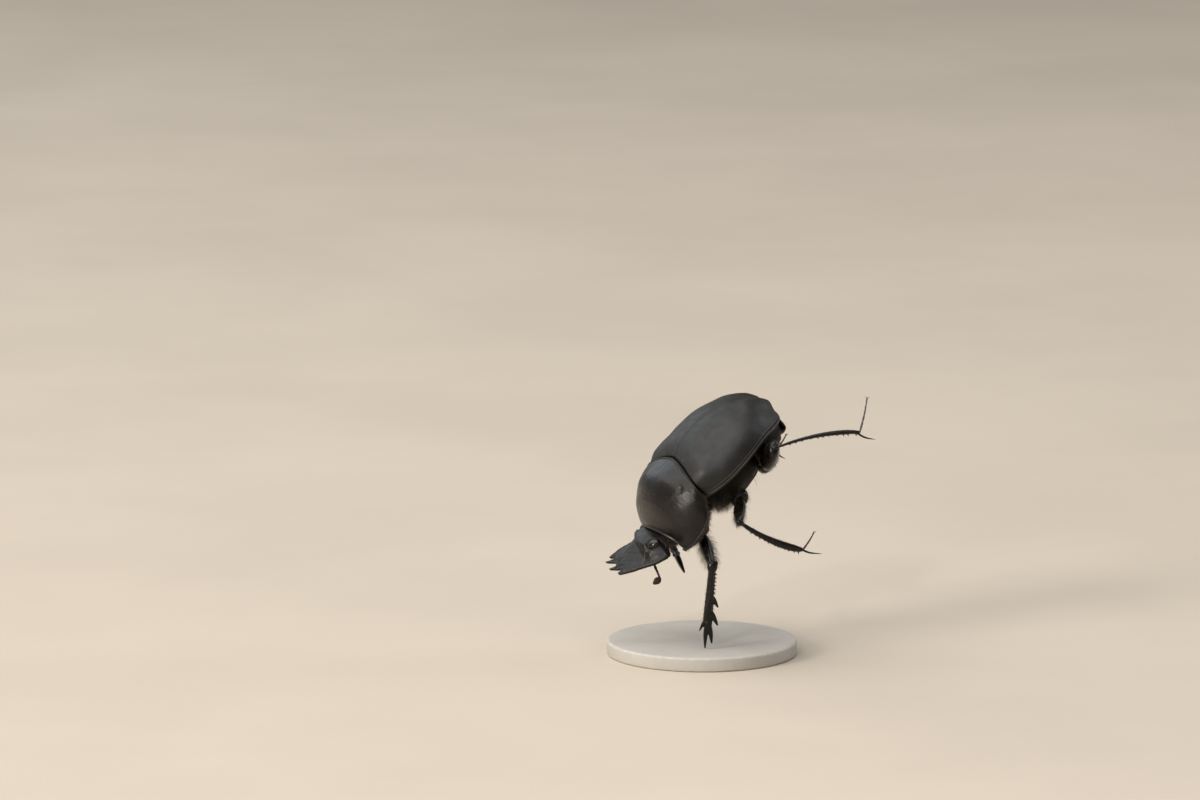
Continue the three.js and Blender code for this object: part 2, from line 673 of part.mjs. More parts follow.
// A plain disc with a bevelled rim.
function standBase() {
  const { radius, height, bevel } = BASE;
  const profile = [
    [0, 0],
    [radius - bevel, 0],
    [radius, bevel],
    [radius, height - bevel],
    [radius - bevel, height],
    [0, height],
  ];
  const disc = new THREE.LatheGeometry(profile.map(([r, z]) => new THREE.Vector2(r, z)), 30);
  return merged(disc).rotateX(Math.PI / 2);
}
beetle.add(node("stand_base", standBase(), BASE_GREY));

export default beetle;
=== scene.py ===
"""A ball-rolling dung beetle at life size, head down on its left foreleg, on a plain round base.

Lengths are in millimetres until a mesh is made, when they become metres. The trunk's own frame has
y running rearward from the joint of pronotum and elytra, and z dorsal; the head has a like frame.
"""

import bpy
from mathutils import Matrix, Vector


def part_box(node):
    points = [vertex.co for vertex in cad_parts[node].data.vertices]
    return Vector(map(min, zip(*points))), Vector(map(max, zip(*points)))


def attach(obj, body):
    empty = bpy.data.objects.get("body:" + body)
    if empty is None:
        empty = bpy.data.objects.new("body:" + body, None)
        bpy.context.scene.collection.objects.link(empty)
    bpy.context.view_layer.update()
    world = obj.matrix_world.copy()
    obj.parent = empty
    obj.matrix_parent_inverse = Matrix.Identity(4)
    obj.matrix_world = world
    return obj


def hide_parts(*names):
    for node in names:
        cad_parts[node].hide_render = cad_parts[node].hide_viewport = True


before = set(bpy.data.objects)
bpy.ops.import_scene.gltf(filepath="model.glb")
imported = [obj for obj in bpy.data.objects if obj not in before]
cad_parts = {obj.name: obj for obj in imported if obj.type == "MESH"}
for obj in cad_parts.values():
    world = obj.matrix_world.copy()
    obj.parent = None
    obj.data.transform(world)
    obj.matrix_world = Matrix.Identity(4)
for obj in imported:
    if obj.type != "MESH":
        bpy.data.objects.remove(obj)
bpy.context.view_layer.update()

import bpy
import numpy as np
from mathutils import Vector

MM = 0.001

# ------------------------------------------------------------------ dimensions

TRUNK_HEIGHT = 20.35  # of the trunk's reference point over the top of the base
STANCE_SHIFT = -1.5  # of that point along y, from the middle of the base
TRUNK_PITCH = 47.1  # degrees, nose down
HEAD_PITCH = -5.5
HEAD_ROLL = -4.0
HEAD_YAW = -16.0
GAP = 0.12  # between neighbouring sclerites

PRONOTUM_FRONT = -8.1
PRONOTUM_BASE = 0.4
FRONT_CORNER = (5.25, -7.84, -2.8)
WIDEST = (8.1, -3.73, -1.32)
HIND_CORNER = (7.37, -1.56, 0.62)
CROWN_FRONT, CROWN_MIDDLE, CROWN_BASE = 0.45, 4.49, 4.06

ELYTRA_LENGTH = 13.6
ELYTRA_THICKNESS = 0.6
EPIPLEURON = 0.45  # depth of the strip that turns down along the margin
VENTER = -5.3  # z of the underside of thorax and abdomen
CHEST_FRONT, CHEST_REAR = -7.0, -1.55  # y of the ends of the prothorax's underside
THORAX_FRONT, WAIST, ABDOMEN_END = -1.35, 6.3, 12.5  # y of the ends of thorax and abdomen
PEDUNCLE = (0, -2.3, -2.5), (0, -0.6, -2.5)  # the neck of the hind body, inside the prothorax
PYGIDIUM = (0, 12.35, -4.05)
PYGIDIUM_TILT = -22.0
PIT = (5.56, -2.8, 3.17)  # on each side of the pronotum

HEAD_FRONT = -6.9
EYE_CENTRE = np.array([3.35, -0.52, -0.84])
EYE_RADII = np.array([0.7, 0.8, 0.54])

# Joints of each leg round the stance's origin. flat is the way its tibia's broad side faces.
LEGS = {
    "fore_left": dict(
        coxa=(2.2, 0.05, -5.5), knee=(8.0, -0.85, -9.4), ankle=(6.4, -0.8, -17.6),
        flat=(0.35, 0.94, 0), femur_flat=(0.9, -0.4, 0.2)),
    "fore_right": dict(
        coxa=(-2.2, 0.05, -5.5), knee=(-9.4, -0.1, -6.4), ankle=(-2.1, -0.8, -10.3),
        flat=(-0.4, 0.45, -0.8)),
    "mid_left": dict(
        coxa=(4.6, 4.5, -1.7), knee=(10.36, 1.75, -3.7), ankle=(10.9, 10.2, -7.75),
        tarsus=(1.45, 1.1, 2.75), spur=(1.5, 2.1, -0.4), flat=(0.3, 0.3, 0.9), bow=(0, 0, -0.5)),
    "mid_right": dict(
        coxa=(-4.6, 4.7, -1.7), knee=(-10.0, 2.8, -2.4), ankle=(-10.4, 11.4, -3.6),
        tarsus=(-1.5, 1.7, 2.3), spur=(1.0, 0.8, -1.2), flat=(-0.3, 0.3, 0.9), bow=(0, 0, -0.5)),
    "hind_left": dict(
        coxa=(3.1, 8.6, 2.0), knee=(9.87, 6.75, 5.24), ankle=(12.44, 17.28, 6.9),
        tarsus=(-2.9, 2.5, 4.0), spur=(0.65, 1.95, -1.0), flat=(0.2, 0.1, 0.97), bow=(0, 0, 0.55)),
    "hind_right": dict(
        coxa=(-3.1, 8.6, 2.0), knee=(-9.8, 6.6, 4.2), ankle=(-8.0, 15.6, 1.4),
        tarsus=(4.4, -0.6, 2.9), spur=(1.6, 0.6, -1.0), flat=(-0.2, 0.1, 0.97), bow=(0, 0, 0.55)),
}
for joints in LEGS.values():
    joints.update({key: np.array(place, float) for key, place in joints.items()})
LEG_SIZE = {
    "fore": dict(coxa=1.2, femur=1.25, tibia=0.76, thick=0.42, knee=0.66),
    "mid": dict(coxa=1.25, femur=1.15, tibia=0.46, thick=0.32, knee=0.4),
    "hind": dict(coxa=1.3, femur=1.85, tibia=0.3, thick=0.26, knee=0.34),
}

# ------------------------------------------------------------------ helpers


def turned(axis, degrees):
    """Rotation matrix about one of the axes x, y or z."""
    c, s = np.cos(np.radians(degrees)), np.sin(np.radians(degrees))
    i, j = {"x": (1, 2), "y": (2, 0), "z": (0, 1)}[axis]
    matrix = np.eye(3)
    matrix[i, i] = matrix[j, j] = c
    matrix[i, j], matrix[j, i] = -s, s
    return matrix


base_low, base_high = (np.array(corner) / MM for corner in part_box("stand_base"))
base_middle = (base_low + base_high) / 2
STANCE = np.array([base_middle[0], base_middle[1] + STANCE_SHIFT, base_high[2] + TRUNK_HEIGHT])
TRUNK_TURN = turned("x", TRUNK_PITCH)
NECK_TURN = TRUNK_TURN @ turned("x", HEAD_PITCH) @ turned("y", HEAD_ROLL) @ turned("z", HEAD_YAW)
NECK = STANCE + TRUNK_TURN @ np.array([0, PRONOTUM_FRONT, CROWN_FRONT])


def stance(points):
    return np.asarray(points, float) + STANCE


def trunk(points):
    return np.asarray(points, float) @ TRUNK_TURN.T + STANCE


def neck(points):
    return np.asarray(points, float) @ NECK_TURN.T + NECK


def through(*knots):
    """A smooth curve through a few (position, value) knots, with no overshoot between them."""
    xs, ys = np.array(knots, float).T
    slopes = np.diff(ys) / np.diff(xs)
    before, after = np.append(slopes[0], slopes), np.append(slopes, slopes[-1])
    same_way = before * after > 0
    tangents = np.where(same_way, 2 * before * after / np.where(same_way, before + after, 1), 0)

    def value(x):
        i = np.clip(np.searchsorted(xs, x, side="right") - 1, 0, len(xs) - 2)
        h = xs[i + 1] - xs[i]
        t = np.clip((x - xs[i]) / h, 0, 1)
        rise = (1 - t) ** 2 * (1 + 2 * t) * ys[i] + t * t * (3 - 2 * t) * ys[i + 1]
        return rise + h * t * (1 - t) * ((1 - t) * tangents[i] - t * tangents[i + 1])

    return value


def mix(a, b, share):
    return a + (b - a) * share


def smoothstep(x, low, high):
    t = np.clip((x - low) / (high - low), 0, 1)
    return t * t * (3 - 2 * t)


def bell(x, centre, spread):
    return np.exp(-(((x - centre) / spread) ** 2))


def fall(share, power):
    """Superellipse falling from 1 at the start of a span to 0 at its end."""
    return (1 - np.clip(share, 0, 1) ** power) ** (1 / power)


def unit(vectors):
    return vectors / np.maximum(np.linalg.norm(vectors, axis=-1, keepdims=True), 1e-12)


def circle(count):
    """Angles of that many points round a circle."""
    return 2 * np.pi * np.arange(count) / count


def lengthwise(rows, front, rear):
    """Stations from 0 to 1 along a closed body, closer at its ends, and how wide it is at each."""
    v = np.linspace(0, 1, rows)
    wide = np.sin(np.pi * v) ** np.where(v < 0.5, front, rear)
    wide[0] = wide[-1] = 0
    return (1 - np.cos(np.pi * v)) / 2, wide


def run(points, axis):
    """Distance along the rows or the columns of a grid, from its first point."""
    step = np.linalg.norm(np.diff(points, axis=axis), axis=-1)
    return np.concatenate([np.zeros_like(np.take(step, [0], axis)), np.cumsum(step, axis)], axis)


def ripple(points, size, seed):
    """Smooth random relief between about -1 and 1, with hills of the given size."""
    rng = np.random.default_rng(seed)
    total = np.zeros(points.shape[:-1])
    waves = 7
    for _ in range(waves):
        wave = unit(rng.normal(size=3)) * rng.uniform(0.7, 1.5) * 2 * np.pi / size
        total += np.sin(points @ wave + rng.uniform(0, 2 * np.pi))
    return total / waves ** 0.5 / 1.5


def surface(x, y, z):
    """A grid of points from its coordinates, each of them a grid, a row, a column or a number."""
    return np.stack(np.broadcast_arrays(x, y, z), -1)


def grid_normals(points, wrap=True):
    """Unit normals of a grid, turned away from its middle."""
    if wrap:
        across = np.roll(points, -1, 1) - np.roll(points, 1, 1)
    else:
        across = np.gradient(points, axis=1)
    out = unit(np.cross(across, np.gradient(points, axis=0)))
    middle = points.mean((0, 1))
    return out * np.sign((out * (points - middle)).sum())


class Shell:
    """The points and faces of one piece, gathered from grids, with a few numbers for each point."""

    def __init__(self):
        self.points, self.faces, self.marks = [], [], []
        self.count = 0

    def grid(self, points, wrap=True, **marks):
        rows, columns = points.shape[:2]
        index = self.count + np.arange(rows * columns).reshape(rows, columns)
        if wrap:
            index = np.concatenate([index, index[:, :1]], 1)
        quads = np.stack([index[:-1, :-1], index[:-1, 1:], index[1:, 1:], index[1:, :-1]], -1).reshape(-1, 4)
        corners = points.reshape(-1, 3)[quads - self.count]
        facing = np.cross(corners[:, 2] - corners[:, 0], corners[:, 3] - corners[:, 1])
        outward = (facing * (corners.mean(1) - points.mean((0, 1)))).sum() > 0
        self.points.append(points.reshape(-1, 3))
        self.faces.append(quads if outward else quads[:, ::-1])
        each = {key: np.broadcast_to(value, (rows, columns)).ravel() for key, value in marks.items()}
        self.marks.append(each)
        self.count += rows * columns
        return self

    def arrays(self):
        points = np.concatenate(self.points)
        keys = sorted({key for marks in self.marks for key in marks})
        sizes = [len(p) for p in self.points]
        marks = {
            key: np.concatenate([m.get(key, np.zeros(n)) for m, n in zip(self.marks, sizes)]) for key in keys
        }
        return points, np.concatenate(self.faces), marks


def unworn(*grids):
    shell = Shell()
    for grid in grids:
        shell.grid(grid, wear=0.0)
    return shell


def raw_mesh(name, points, faces, scale):
    mesh = bpy.data.meshes.new(name)
    mesh.vertices.add(len(points))
    mesh.vertices.foreach_set("co", (points * scale).astype(np.float32).ravel())
    corners = faces.shape[1]
    mesh.loops.add(faces.size)
    mesh.loops.foreach_set("vertex_index", faces.astype(np.int32).ravel())
    mesh.polygons.add(len(faces))
    mesh.polygons.foreach_set("loop_start", np.arange(0, faces.size, corners, dtype=np.int32))
    mesh.update(calc_edges=True)
    mesh.validate()
    return mesh


def piece(name, mesh, material, replaces=()):
    """Puts a finished mesh on the model."""
    obj = bpy.data.objects.new(name, mesh)
    bpy.context.scene.collection.objects.link(obj)
    mesh.materials.append(material)
    mesh.shade_smooth()
    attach(obj, "root")
    if replaces:
        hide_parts(*replaces)
    return obj


def shell_piece(name, shell, place, material, replaces):
    points, faces, marks = shell.arrays()
    mesh = raw_mesh(name, place(points), faces, MM)
    for key, values in marks.items():
        mesh.attributes.new(key, "FLOAT", "POINT").data.foreach_set("value", values.astype(np.float32))
    return piece(name, mesh, material, replaces)


def fused(shell, place, voxel, rounds):
    """One smooth skin over the shell's overlapping closed bodies. It works in millimetres."""
    points, faces, _ = shell.arrays()
    mesh = raw_mesh("fusing", place(points), faces, 1)
    obj = bpy.data.objects.new("fusing", mesh)
    bpy.context.scene.collection.objects.link(obj)
    remesh = obj.modifiers.new("remesh", "REMESH")
    remesh.mode, remesh.voxel_size = "VOXEL", voxel
    fair = obj.modifiers.new("fair", "SMOOTH")
    fair.factor, fair.iterations = 0.5, rounds
    made = bpy.data.meshes.new_from_object(obj.evaluated_get(bpy.context.evaluated_depsgraph_get()))
    bpy.data.objects.remove(obj)
    made.transform(((MM, 0, 0, 0), (0, MM, 0, 0), (0, 0, MM, 0), (0, 0, 0, 1)))
    return made


def path(*points):
    """A curve through the points: t from 0 to 1 gives (position, tangent)."""
    points = np.array(points, float)
    chord = run(points, 0)
    curves = [through(*zip(chord / chord[-1], points[:, i])) for i in range(3)]

    def at(t):
        step = 1e-3
        place = np.stack([c(t) for c in curves], -1)
        ahead = np.stack([c(np.minimum(t + step, 1)) for c in curves], -1)
        behind = np.stack([c(np.maximum(t - step, 0)) for c in curves], -1)
        return place, unit(ahead - behind)

    return at


def limb(curve, flat, width, depth, around=40, along=70, keel=2.0, blunt=0.36, relief=None):
    """A rounded limb along a curve, its section a superellipse, as a grid of points."""
    t, end = lengthwise(along, blunt, blunt)
    place, tangent = curve(t)
    flat = np.broadcast_to(np.asarray(flat, float), tangent.shape)
    side = unit(flat - tangent * (flat * tangent).sum(-1, keepdims=True))
    up = np.cross(side, tangent)
    angle = circle(around)
    c, s = np.cos(angle), np.sin(angle)
    x = np.sign(c) * np.abs(c) ** (2 / keel) * (end * width(t))[:, None]
    y = np.sign(s) * np.abs(s) ** (2 / keel) * (end * depth(t))[:, None]
    if relief is not None:
        scale = 1 + relief(t[:, None], angle[None])
        x, y = x * scale, y * scale
    return place[:, None] + side[:, None] * x[..., None] + up[:, None] * y[..., None]


def even(radius):
    """A limb's radius that stays the same along it."""
    return lambda t: radius * np.ones_like(t)


def jointed(shell, places, radii, shape, flat, overlap, around, along):
    """Adds a row of joints that run a little into each other. shape gives the radius along each."""
    for a, b, radius in zip(places[:-1], places[1:], radii):
        fat = lambda t, r=radius: r * shape(t)
        ends = path(a - overlap[0] * (b - a), b + overlap[1] * (b - a))
        shell.grid(limb(ends, flat, fat, fat, around, along))


def spike(start, end, radius, tip=0.1, bend=(0, 0, 0), around=10, along=14):
    """A pointed tooth or spur that may curve."""
    start, end = np.array(start, float), np.array(end, float)
    middle = (start + end) / 2 + np.array(bend, float)
    flat = np.cross(end - start, [0.31, 0.77, 0.55])
    taper = lambda t: radius * mix(1, tip, t ** 1.3)
    return limb(path(start, middle, end), unit(flat), taper, taper, around, along, blunt=0.3)


# ------------------------------------------------------------------ materials


class Nodes:
    """Short hand for building one material's node tree."""

    def __init__(self, name):
        self.material = bpy.data.materials.new(name)
        self.material.use_nodes = True
        self.tree = self.material.node_tree
        self.shader = self.tree.nodes["Principled BSDF"]
        self.where = self.add("ShaderNodeTexCoord").outputs["Object"]

    def add(self, kind, inputs=(), **settings):
        node = self.tree.nodes.new(kind)
        for key, value in settings.items():
            setattr(node, key, value)
        for key, value in dict(inputs).items():
            self.feed(value, node.inputs[key])
        return node

    def feed(self, value, socket):
        if isinstance(value, bpy.types.NodeSocket):
            self.tree.links.new(value, socket)
        else:
            socket.default_value = value

    def math(self, operation, a, b=0.0):
        return self.add("ShaderNodeMath", {0: a, 1: b}, operation=operation).outputs[0]

    def span(self, value, low, high, to_low=0.0, to_high=1.0):
        inputs = {"Value": value, "From Min": low, "From Max": high, "To Min": to_low, "To Max": to_high}
        return self.add("ShaderNodeMapRange", inputs, interpolation_type="SMOOTHSTEP").outputs["Result"]

    def noise(self, size, detail=3.0, roughness=0.55):
        """Noise with features of the given size in millimetres."""
        inputs = {"Vector": self.where, "Scale": 1 / (size * MM), "Detail": detail, "Roughness": roughness}
        return self.add("ShaderNodeTexNoise", inputs).outputs["Fac"]

    def cells(self, size, feature="F1", randomness=1.0):
        inputs = {"Vector": self.where, "Scale": 1 / (size * MM), "Randomness": randomness}
        return self.add("ShaderNodeTexVoronoi", inputs, feature=feature).outputs["Distance"]

    def blend(self, share, a, b):
        node = self.add("ShaderNodeMix", data_type="RGBA")
        self.feed(share, node.inputs["Factor"])
        for value, socket in ((a, "A"), (b, "B")):
            target = [s for s in node.inputs if s.name == socket and s.type == "RGBA"][0]
            self.feed((*value, 1) if isinstance(value, tuple) else value, target)
        return [s for s in node.outputs if s.type == "RGBA"][0]

    def mark(self, name):
        return self.add("ShaderNodeAttribute", attribute_name=name).outputs["Fac"]

    def bump(self, height, depth, normal=None):
        """Relief of the given depth in millimetres for heights from 0 to 1."""
        node = self.add("ShaderNodeBump", {"Height": height, "Distance": depth * MM, "Strength": 1.0})
        if normal is not None:
            self.feed(normal, node.inputs["Normal"])
        return node.outputs["Normal"]

    def finish(self, colour, roughness, normal, **constants):
        self.feed(colour, self.shader.inputs["Base Color"])
        self.feed(roughness, self.shader.inputs["Roughness"])
        self.feed(normal, self.shader.inputs["Normal"])
        for key, value in constants.items():
            self.shader.inputs[key.replace("_", " ")].default_value = value
        return self.material


def cuticle(name, dark, light, rough=(0.34, 0.5), pits=0.2, pit_depth=0.012, grain=0.012,
            worn_and_highlight=(0.05, 0.043, 0.035), granules=0.0, striae=False, coat=0.0, gloss=0.4):
    """Insect cuticle: near black, with a patchy tone, punctures or granules, fine shagreen, and marked edges
    painted lighter, partly as wear and partly as painted highlights.
    """
    n = Nodes(name)
    patches = n.span(n.noise(2.6, 4), 0.35, 0.7)
    colour = n.blend(patches, dark, light)
    dust = n.span(n.noise(0.55, 5, 0.65), 0.55, 0.8, 0, 0.3)
    colour = n.blend(dust, colour, tuple(2.2 * c for c in light))
    # Painted highlights and wear: where the mark is set, the colour is blended towards a paler one, partly
    # rubbed wear and partly painted highlights on rims and bumps.
    rubbed_and_highlit = n.math("MULTIPLY", n.mark("wear"), n.span(n.noise(0.3), 0.25, 0.7, 0.35, 1))
    colour = n.blend(rubbed_and_highlit, colour, worn_and_highlight)
    polish = n.span(n.noise(1.1, 4), 0.3, 0.72, *rough)
    polish = n.math("ADD", polish, n.span(n.noise(0.07, 2), 0.2, 0.8, -0.05, 0.05))
    normal = n.bump(n.noise(0.09, 3, 0.6), grain)
    dents = n.span(n.cells(pits), 0.0, 0.34)
    normal = n.bump(dents, pit_depth, normal)
    polish = n.math("ADD", polish, n.span(dents, 0, 1, 0.12, 0))
    if granules:
        beads = n.span(n.cells(0.22), 0.0, 0.6, 1, 0)
        share = n.math("MULTIPLY", beads, n.mark("rugose"))
        normal = n.bump(share, granules, normal)
    if striae:
        intervals = 8.0
        lane = n.math("FRACT", n.math("MULTIPLY", n.mark("across"), intervals))
        from_line = n.math("ABSOLUTE", n.math("SUBTRACT", lane, 0.5))
        line = n.span(from_line, 0.0, 0.07)
        shallow = n.span(n.noise(1.4), 0.35, 0.6, 0.35, 1)
        line = n.math("SUBTRACT", 1.0, n.math("MULTIPLY", n.math("SUBTRACT", 1.0, line), shallow))
        normal = n.bump(line, 0.005, normal)
        stretch = {axis: n.math("MULTIPLY", n.mark(mark), times)
                   for axis, mark, times in (("X", "across", 90.0), ("Y", "down", 1.6))}
        lanes = n.add("ShaderNodeCombineXYZ", stretch).outputs[0]
        scratch = n.add("ShaderNodeTexNoise", {"Vector": lanes, "Scale": 1.0, "Detail": 2.0}).outputs["Fac"]
        near_base = n.span(n.mark("down"), 0.5, 6.0, 1.0, 0.15)
        normal = n.bump(n.math("MULTIPLY", scratch, near_base), 0.03, normal)
    return n.finish(colour, polish, normal, IOR=1.55, Specular_IOR_Level=gloss, Coat_Weight=coat,
                    Coat_Roughness=0.25)


def bristle(name, root, tip):
    """Stiff hairs: darker at the root, paler and redder at the tip."""
    n = Nodes(name)
    base = n.blend(n.mark("along"), root, tip)
    colour = n.blend(n.span(n.noise(0.9, 2), 0.35, 0.7), base, tuple(0.5 * c for c in tip))
    roughness = n.span(n.noise(0.2, 2), 0.3, 0.7, 0.35, 0.55)
    return n.finish(colour, roughness, n.bump(n.noise(0.05, 2), 0.003), IOR=1.5)


pronotum_skin = cuticle(
    "pronotum_cuticle", (0.0028, 0.002, 0.0016), (0.007, 0.005, 0.0038), rough=(0.27, 0.38), pit_depth=0.006,
    gloss=0.31)
elytra_skin = cuticle(
    "elytra_cuticle", (0.006, 0.0055, 0.0052), (0.012, 0.011, 0.0105), rough=(0.42, 0.56), pits=0.34,
    pit_depth=0.005, grain=0.014, worn_and_highlight=(0.1, 0.09, 0.075), striae=True, gloss=0.36)
head_skin = cuticle(
    "head_cuticle", (0.004, 0.0036, 0.0033), (0.01, 0.009, 0.0083), rough=(0.34, 0.48), pits=0.16,
    pit_depth=0.005, granules=0.03, worn_and_highlight=(0.08, 0.073, 0.063), gloss=0.27)
leg_skin = cuticle(
    "leg_cuticle", (0.003, 0.0024, 0.002), (0.008, 0.0064, 0.0052), rough=(0.14, 0.3), pits=0.34,
    pit_depth=0.03, grain=0.016, worn_and_highlight=(0.03, 0.021, 0.014), gloss=0.25)
under_skin = cuticle(
    "underside_cuticle", (0.002, 0.0015, 0.0012), (0.006, 0.0044, 0.0032), rough=(0.38, 0.55), pits=0.3,
    pit_depth=0.025, gloss=0.08)
antenna_skin = cuticle(
    "antenna_cuticle", (0.02, 0.009, 0.005), (0.06, 0.026, 0.013), rough=(0.4, 0.6), pits=0.12,
    worn_and_highlight=(0.12, 0.055, 0.03), gloss=0.3)
mouth_skin = cuticle(
    "mouthparts_cuticle", (0.02, 0.01, 0.007), (0.07, 0.032, 0.018), rough=(0.35, 0.55),
    worn_and_highlight=(0.2, 0.1, 0.06), coat=0.1)
tarsus_skin = cuticle(
    "tarsus_cuticle", (0.012, 0.008, 0.0065), (0.035, 0.019, 0.012), rough=(0.3, 0.5), coat=0.2)
seta_skin = bristle("setae", (0.01, 0.0055, 0.0035), (0.1, 0.054, 0.03))


def eye_material():
    n = Nodes("eye_facets")
    facets = n.span(n.cells(0.035, "DISTANCE_TO_EDGE", randomness=0.2), 0.0, 0.12)
    colour = n.blend(n.span(n.noise(0.5), 0.35, 0.7), (0.0015, 0.0015, 0.0018), (0.005, 0.0042, 0.004))
    roughness = n.span(n.noise(0.3), 0.3, 0.7, 0.05, 0.12)
    return n.finish(colour, roughness, n.bump(facets, 0.0015), IOR=1.5, Specular_IOR_Level=0.5)


def base_material():
    n = Nodes("base_lacquer")
    grain = n.noise(0.5, 5, 0.6)
    colour = n.blend(n.span(n.noise(9, 4), 0.3, 0.7), (0.41, 0.388, 0.348), (0.465, 0.442, 0.402))
    colour = n.blend(n.span(grain, 0.5, 0.75, 0, 0.35), colour, (0.36, 0.338, 0.302))
    rubbed_and_highlit = n.math("MULTIPLY", n.mark("wear"), n.span(n.noise(0.8), 0.4, 0.7))
    colour = n.blend(rubbed_and_highlit, colour, (0.5, 0.482, 0.446))
    roughness = n.span(n.noise(3, 3), 0.3, 0.7, 0.62, 0.78)
    return n.finish(colour, roughness, n.bump(grain, 0.02), IOR=1.45)


# ------------------------------------------------------------------ pronotum

S_WIDEST = (WIDEST[1] - FRONT_CORNER[1]) / (HIND_CORNER[1] - FRONT_CORNER[1])
pronotum_half = through((0, FRONT_CORNER[0]), (0.25, mix(FRONT_CORNER[0], WIDEST[0], 0.72)),
                        (S_WIDEST, WIDEST[0]), (1, HIND_CORNER[0]))
pronotum_edge = through((0, FRONT_CORNER[2]), (S_WIDEST, WIDEST[2]), (1, HIND_CORNER[2]))
pronotum_top = through((0, CROWN_FRONT), (0.3, mix(CROWN_FRONT, CROWN_MIDDLE, 0.68)), (0.65, CROWN_MIDDLE),
                       (1, CROWN_BASE))
pronotum_arch = through((0, 0.95), (0.5, 0.92), (1, 0.52))


def pronotum_point(s, side, rise):
    across = np.abs(side) ** 1.5
    y = mix(mix(PRONOTUM_FRONT, PRONOTUM_BASE, s), mix(FRONT_CORNER[1], HIND_CORNER[1], s), across)
    return surface(pronotum_half(s) * side, y, mix(pronotum_edge(s), pronotum_top(s), rise))


def pronotum():
    rows, columns, lip = 150, 260, 0.25
    arc = np.linspace(0, 1, columns)
    angle = np.pi * arc - 0.13 * np.sin(2 * np.pi * arc)  # closer together at the margins
    s = np.linspace(0, 1, rows)[:, None]
    rise = np.sin(angle)[None] ** pronotum_arch(s)
    points = pronotum_point(s, np.cos(angle)[None], rise)
    out = grid_normals(points, wrap=False)
    girth, length = run(points, 1), run(points, 0)
    from_side = np.minimum(girth, girth[:, -1:] - girth)
    to_base = length[-1:] - length
    # A fine beaded rim along the sides and the front, with a groove inside it.
    beads = 0.5 + 0.5 * np.sin(2 * np.pi * length / 0.33)
    height = (0.05 + 0.05 * beads) * bell(from_side, 0.07, 0.09) - 0.05 * bell(from_side, 0.26, 0.1)
    height += 0.09 * bell(length, 0.08, 0.1) - 0.07 * bell(length, 0.32, 0.14)
    height += 0.05 * bell(to_base, 0.1, 0.1) - 0.05 * bell(to_base, 0.28, 0.09)
    # The pit on each side, a slash with a swelling behind it.
    for side in (-1, 1):
        pit = points - np.array(PIT) * [side, 1, 1]
        slash = 0.97 * pit[..., 1] + 0.24 * pit[..., 2]
        across = 0.24 * pit[..., 1] - 0.97 * pit[..., 2]
        here = np.sign(points[..., 0]) == side
        height -= 0.13 * bell(slash, 0, 0.42) * bell(across, 0, 0.17) * here
        height += 0.05 * bell(slash, 0.1, 0.7) * bell(across, 0.45, 0.3) * here
    height += 0.018 * ripple(points, 2.4, 3) + 0.006 * ripple(points, 0.7, 4)
    height -= 0.04 * bell(points[..., 0], 0, 0.25) * smoothstep(s, 0.35, 0.9)
    top = points + out * height[..., None]
    # Painted highlights and wear: the beaded side rims and the front rim are painted lighter, partly as wear
    # and partly as a painted highlight standing in for the bright line of light along the rim.
    wear = np.maximum(bell(from_side, 0.05, 0.1) * (0.4 + 0.6 * beads), bell(length, 0.05, 0.1))

    # Under the margin the plate turns in, and its ends fold down out of sight.
    turn_in = np.array([[0.03, -0.1], [0.16, -lip], [0.5, -lip - 0.02], [1.1, -lip + 0.06]])
    left = [top[:, :1] + np.array([-x, 0, z]) for x, z in turn_in]
    right = [top[:, -1:] + np.array([x, 0, z]) for x, z in turn_in]
    sheet = np.concatenate(left[::-1] + [top] + right, 1)
    sheet_wear_and_highlight = np.pad(wear, ((0, 0), (len(turn_in), len(turn_in))))
    inward = unit(np.array([0.0, -3.5, 0.6]) - sheet)
    folds = ((0.05, 0.09), (0.16, 0.28), (0.45, 0.7), (1.1, 1.9))
    front_rows = [sheet[:1] + inward[:1] * d + np.array([0, back, 0]) for d, back in folds]
    hind_rows = [sheet[-1:] + inward[-1:] * d * 1.2 for d, _ in folds]
    whole = np.concatenate(front_rows[::-1] + [sheet] + hind_rows, 0)
    whole_wear_and_highlight = np.pad(sheet_wear_and_highlight, ((len(folds), len(folds)), (0, 0)))
    return Shell().grid(whole, wrap=False, wear=whole_wear_and_highlight), top


# ------------------------------------------------------------------ elytra

elytra_edge = through((0, 0.4), (4, 0), (9.5, -0.65), (ELYTRA_LENGTH, -2.9))
elytra_arch = through((0, 0.42), (1.5, 0.55), (4, 0.87), (8.5, 0.64), (ELYTRA_LENGTH, 0.5))


def swell(y, at, low, high):
    return high - (high - low) * (1 - np.minimum(y / at, 1)) ** 2


def elytra_half(y):
    return swell(y, 4, 6.75, 8.5) * fall((y - 4) / (ELYTRA_LENGTH - 4), 2.2)


def elytra_top(y):
    return mix(-2.9, swell(y, 3, 4.0, 4.7), fall((y - 3) / (ELYTRA_LENGTH - 3), 2.18))


def callus(y, side):
    """The swelling near the tip of each elytron."""
    fade = 1 - smoothstep(y, ELYTRA_LENGTH - 0.9, ELYTRA_LENGTH)
    return 0.7 * fade * bell(y, 12.2, 1.6) * bell(np.abs(side), 0.5, 0.3)


def bulge(y, side, rise):
    """How far that swelling stands out rearwards."""
    fade = 1 - smoothstep(y, ELYTRA_LENGTH - 0.4, ELYTRA_LENGTH)
    return 0.65 * fade * bell(y, 13.2, 0.8) * bell(np.abs(side), 0.6, 0.35) * smoothstep(rise, 0.2, 0.7)


def base_line(side):
    return mix(PRONOTUM_BASE, HIND_CORNER[1], np.abs(side) ** 1.5) + GAP


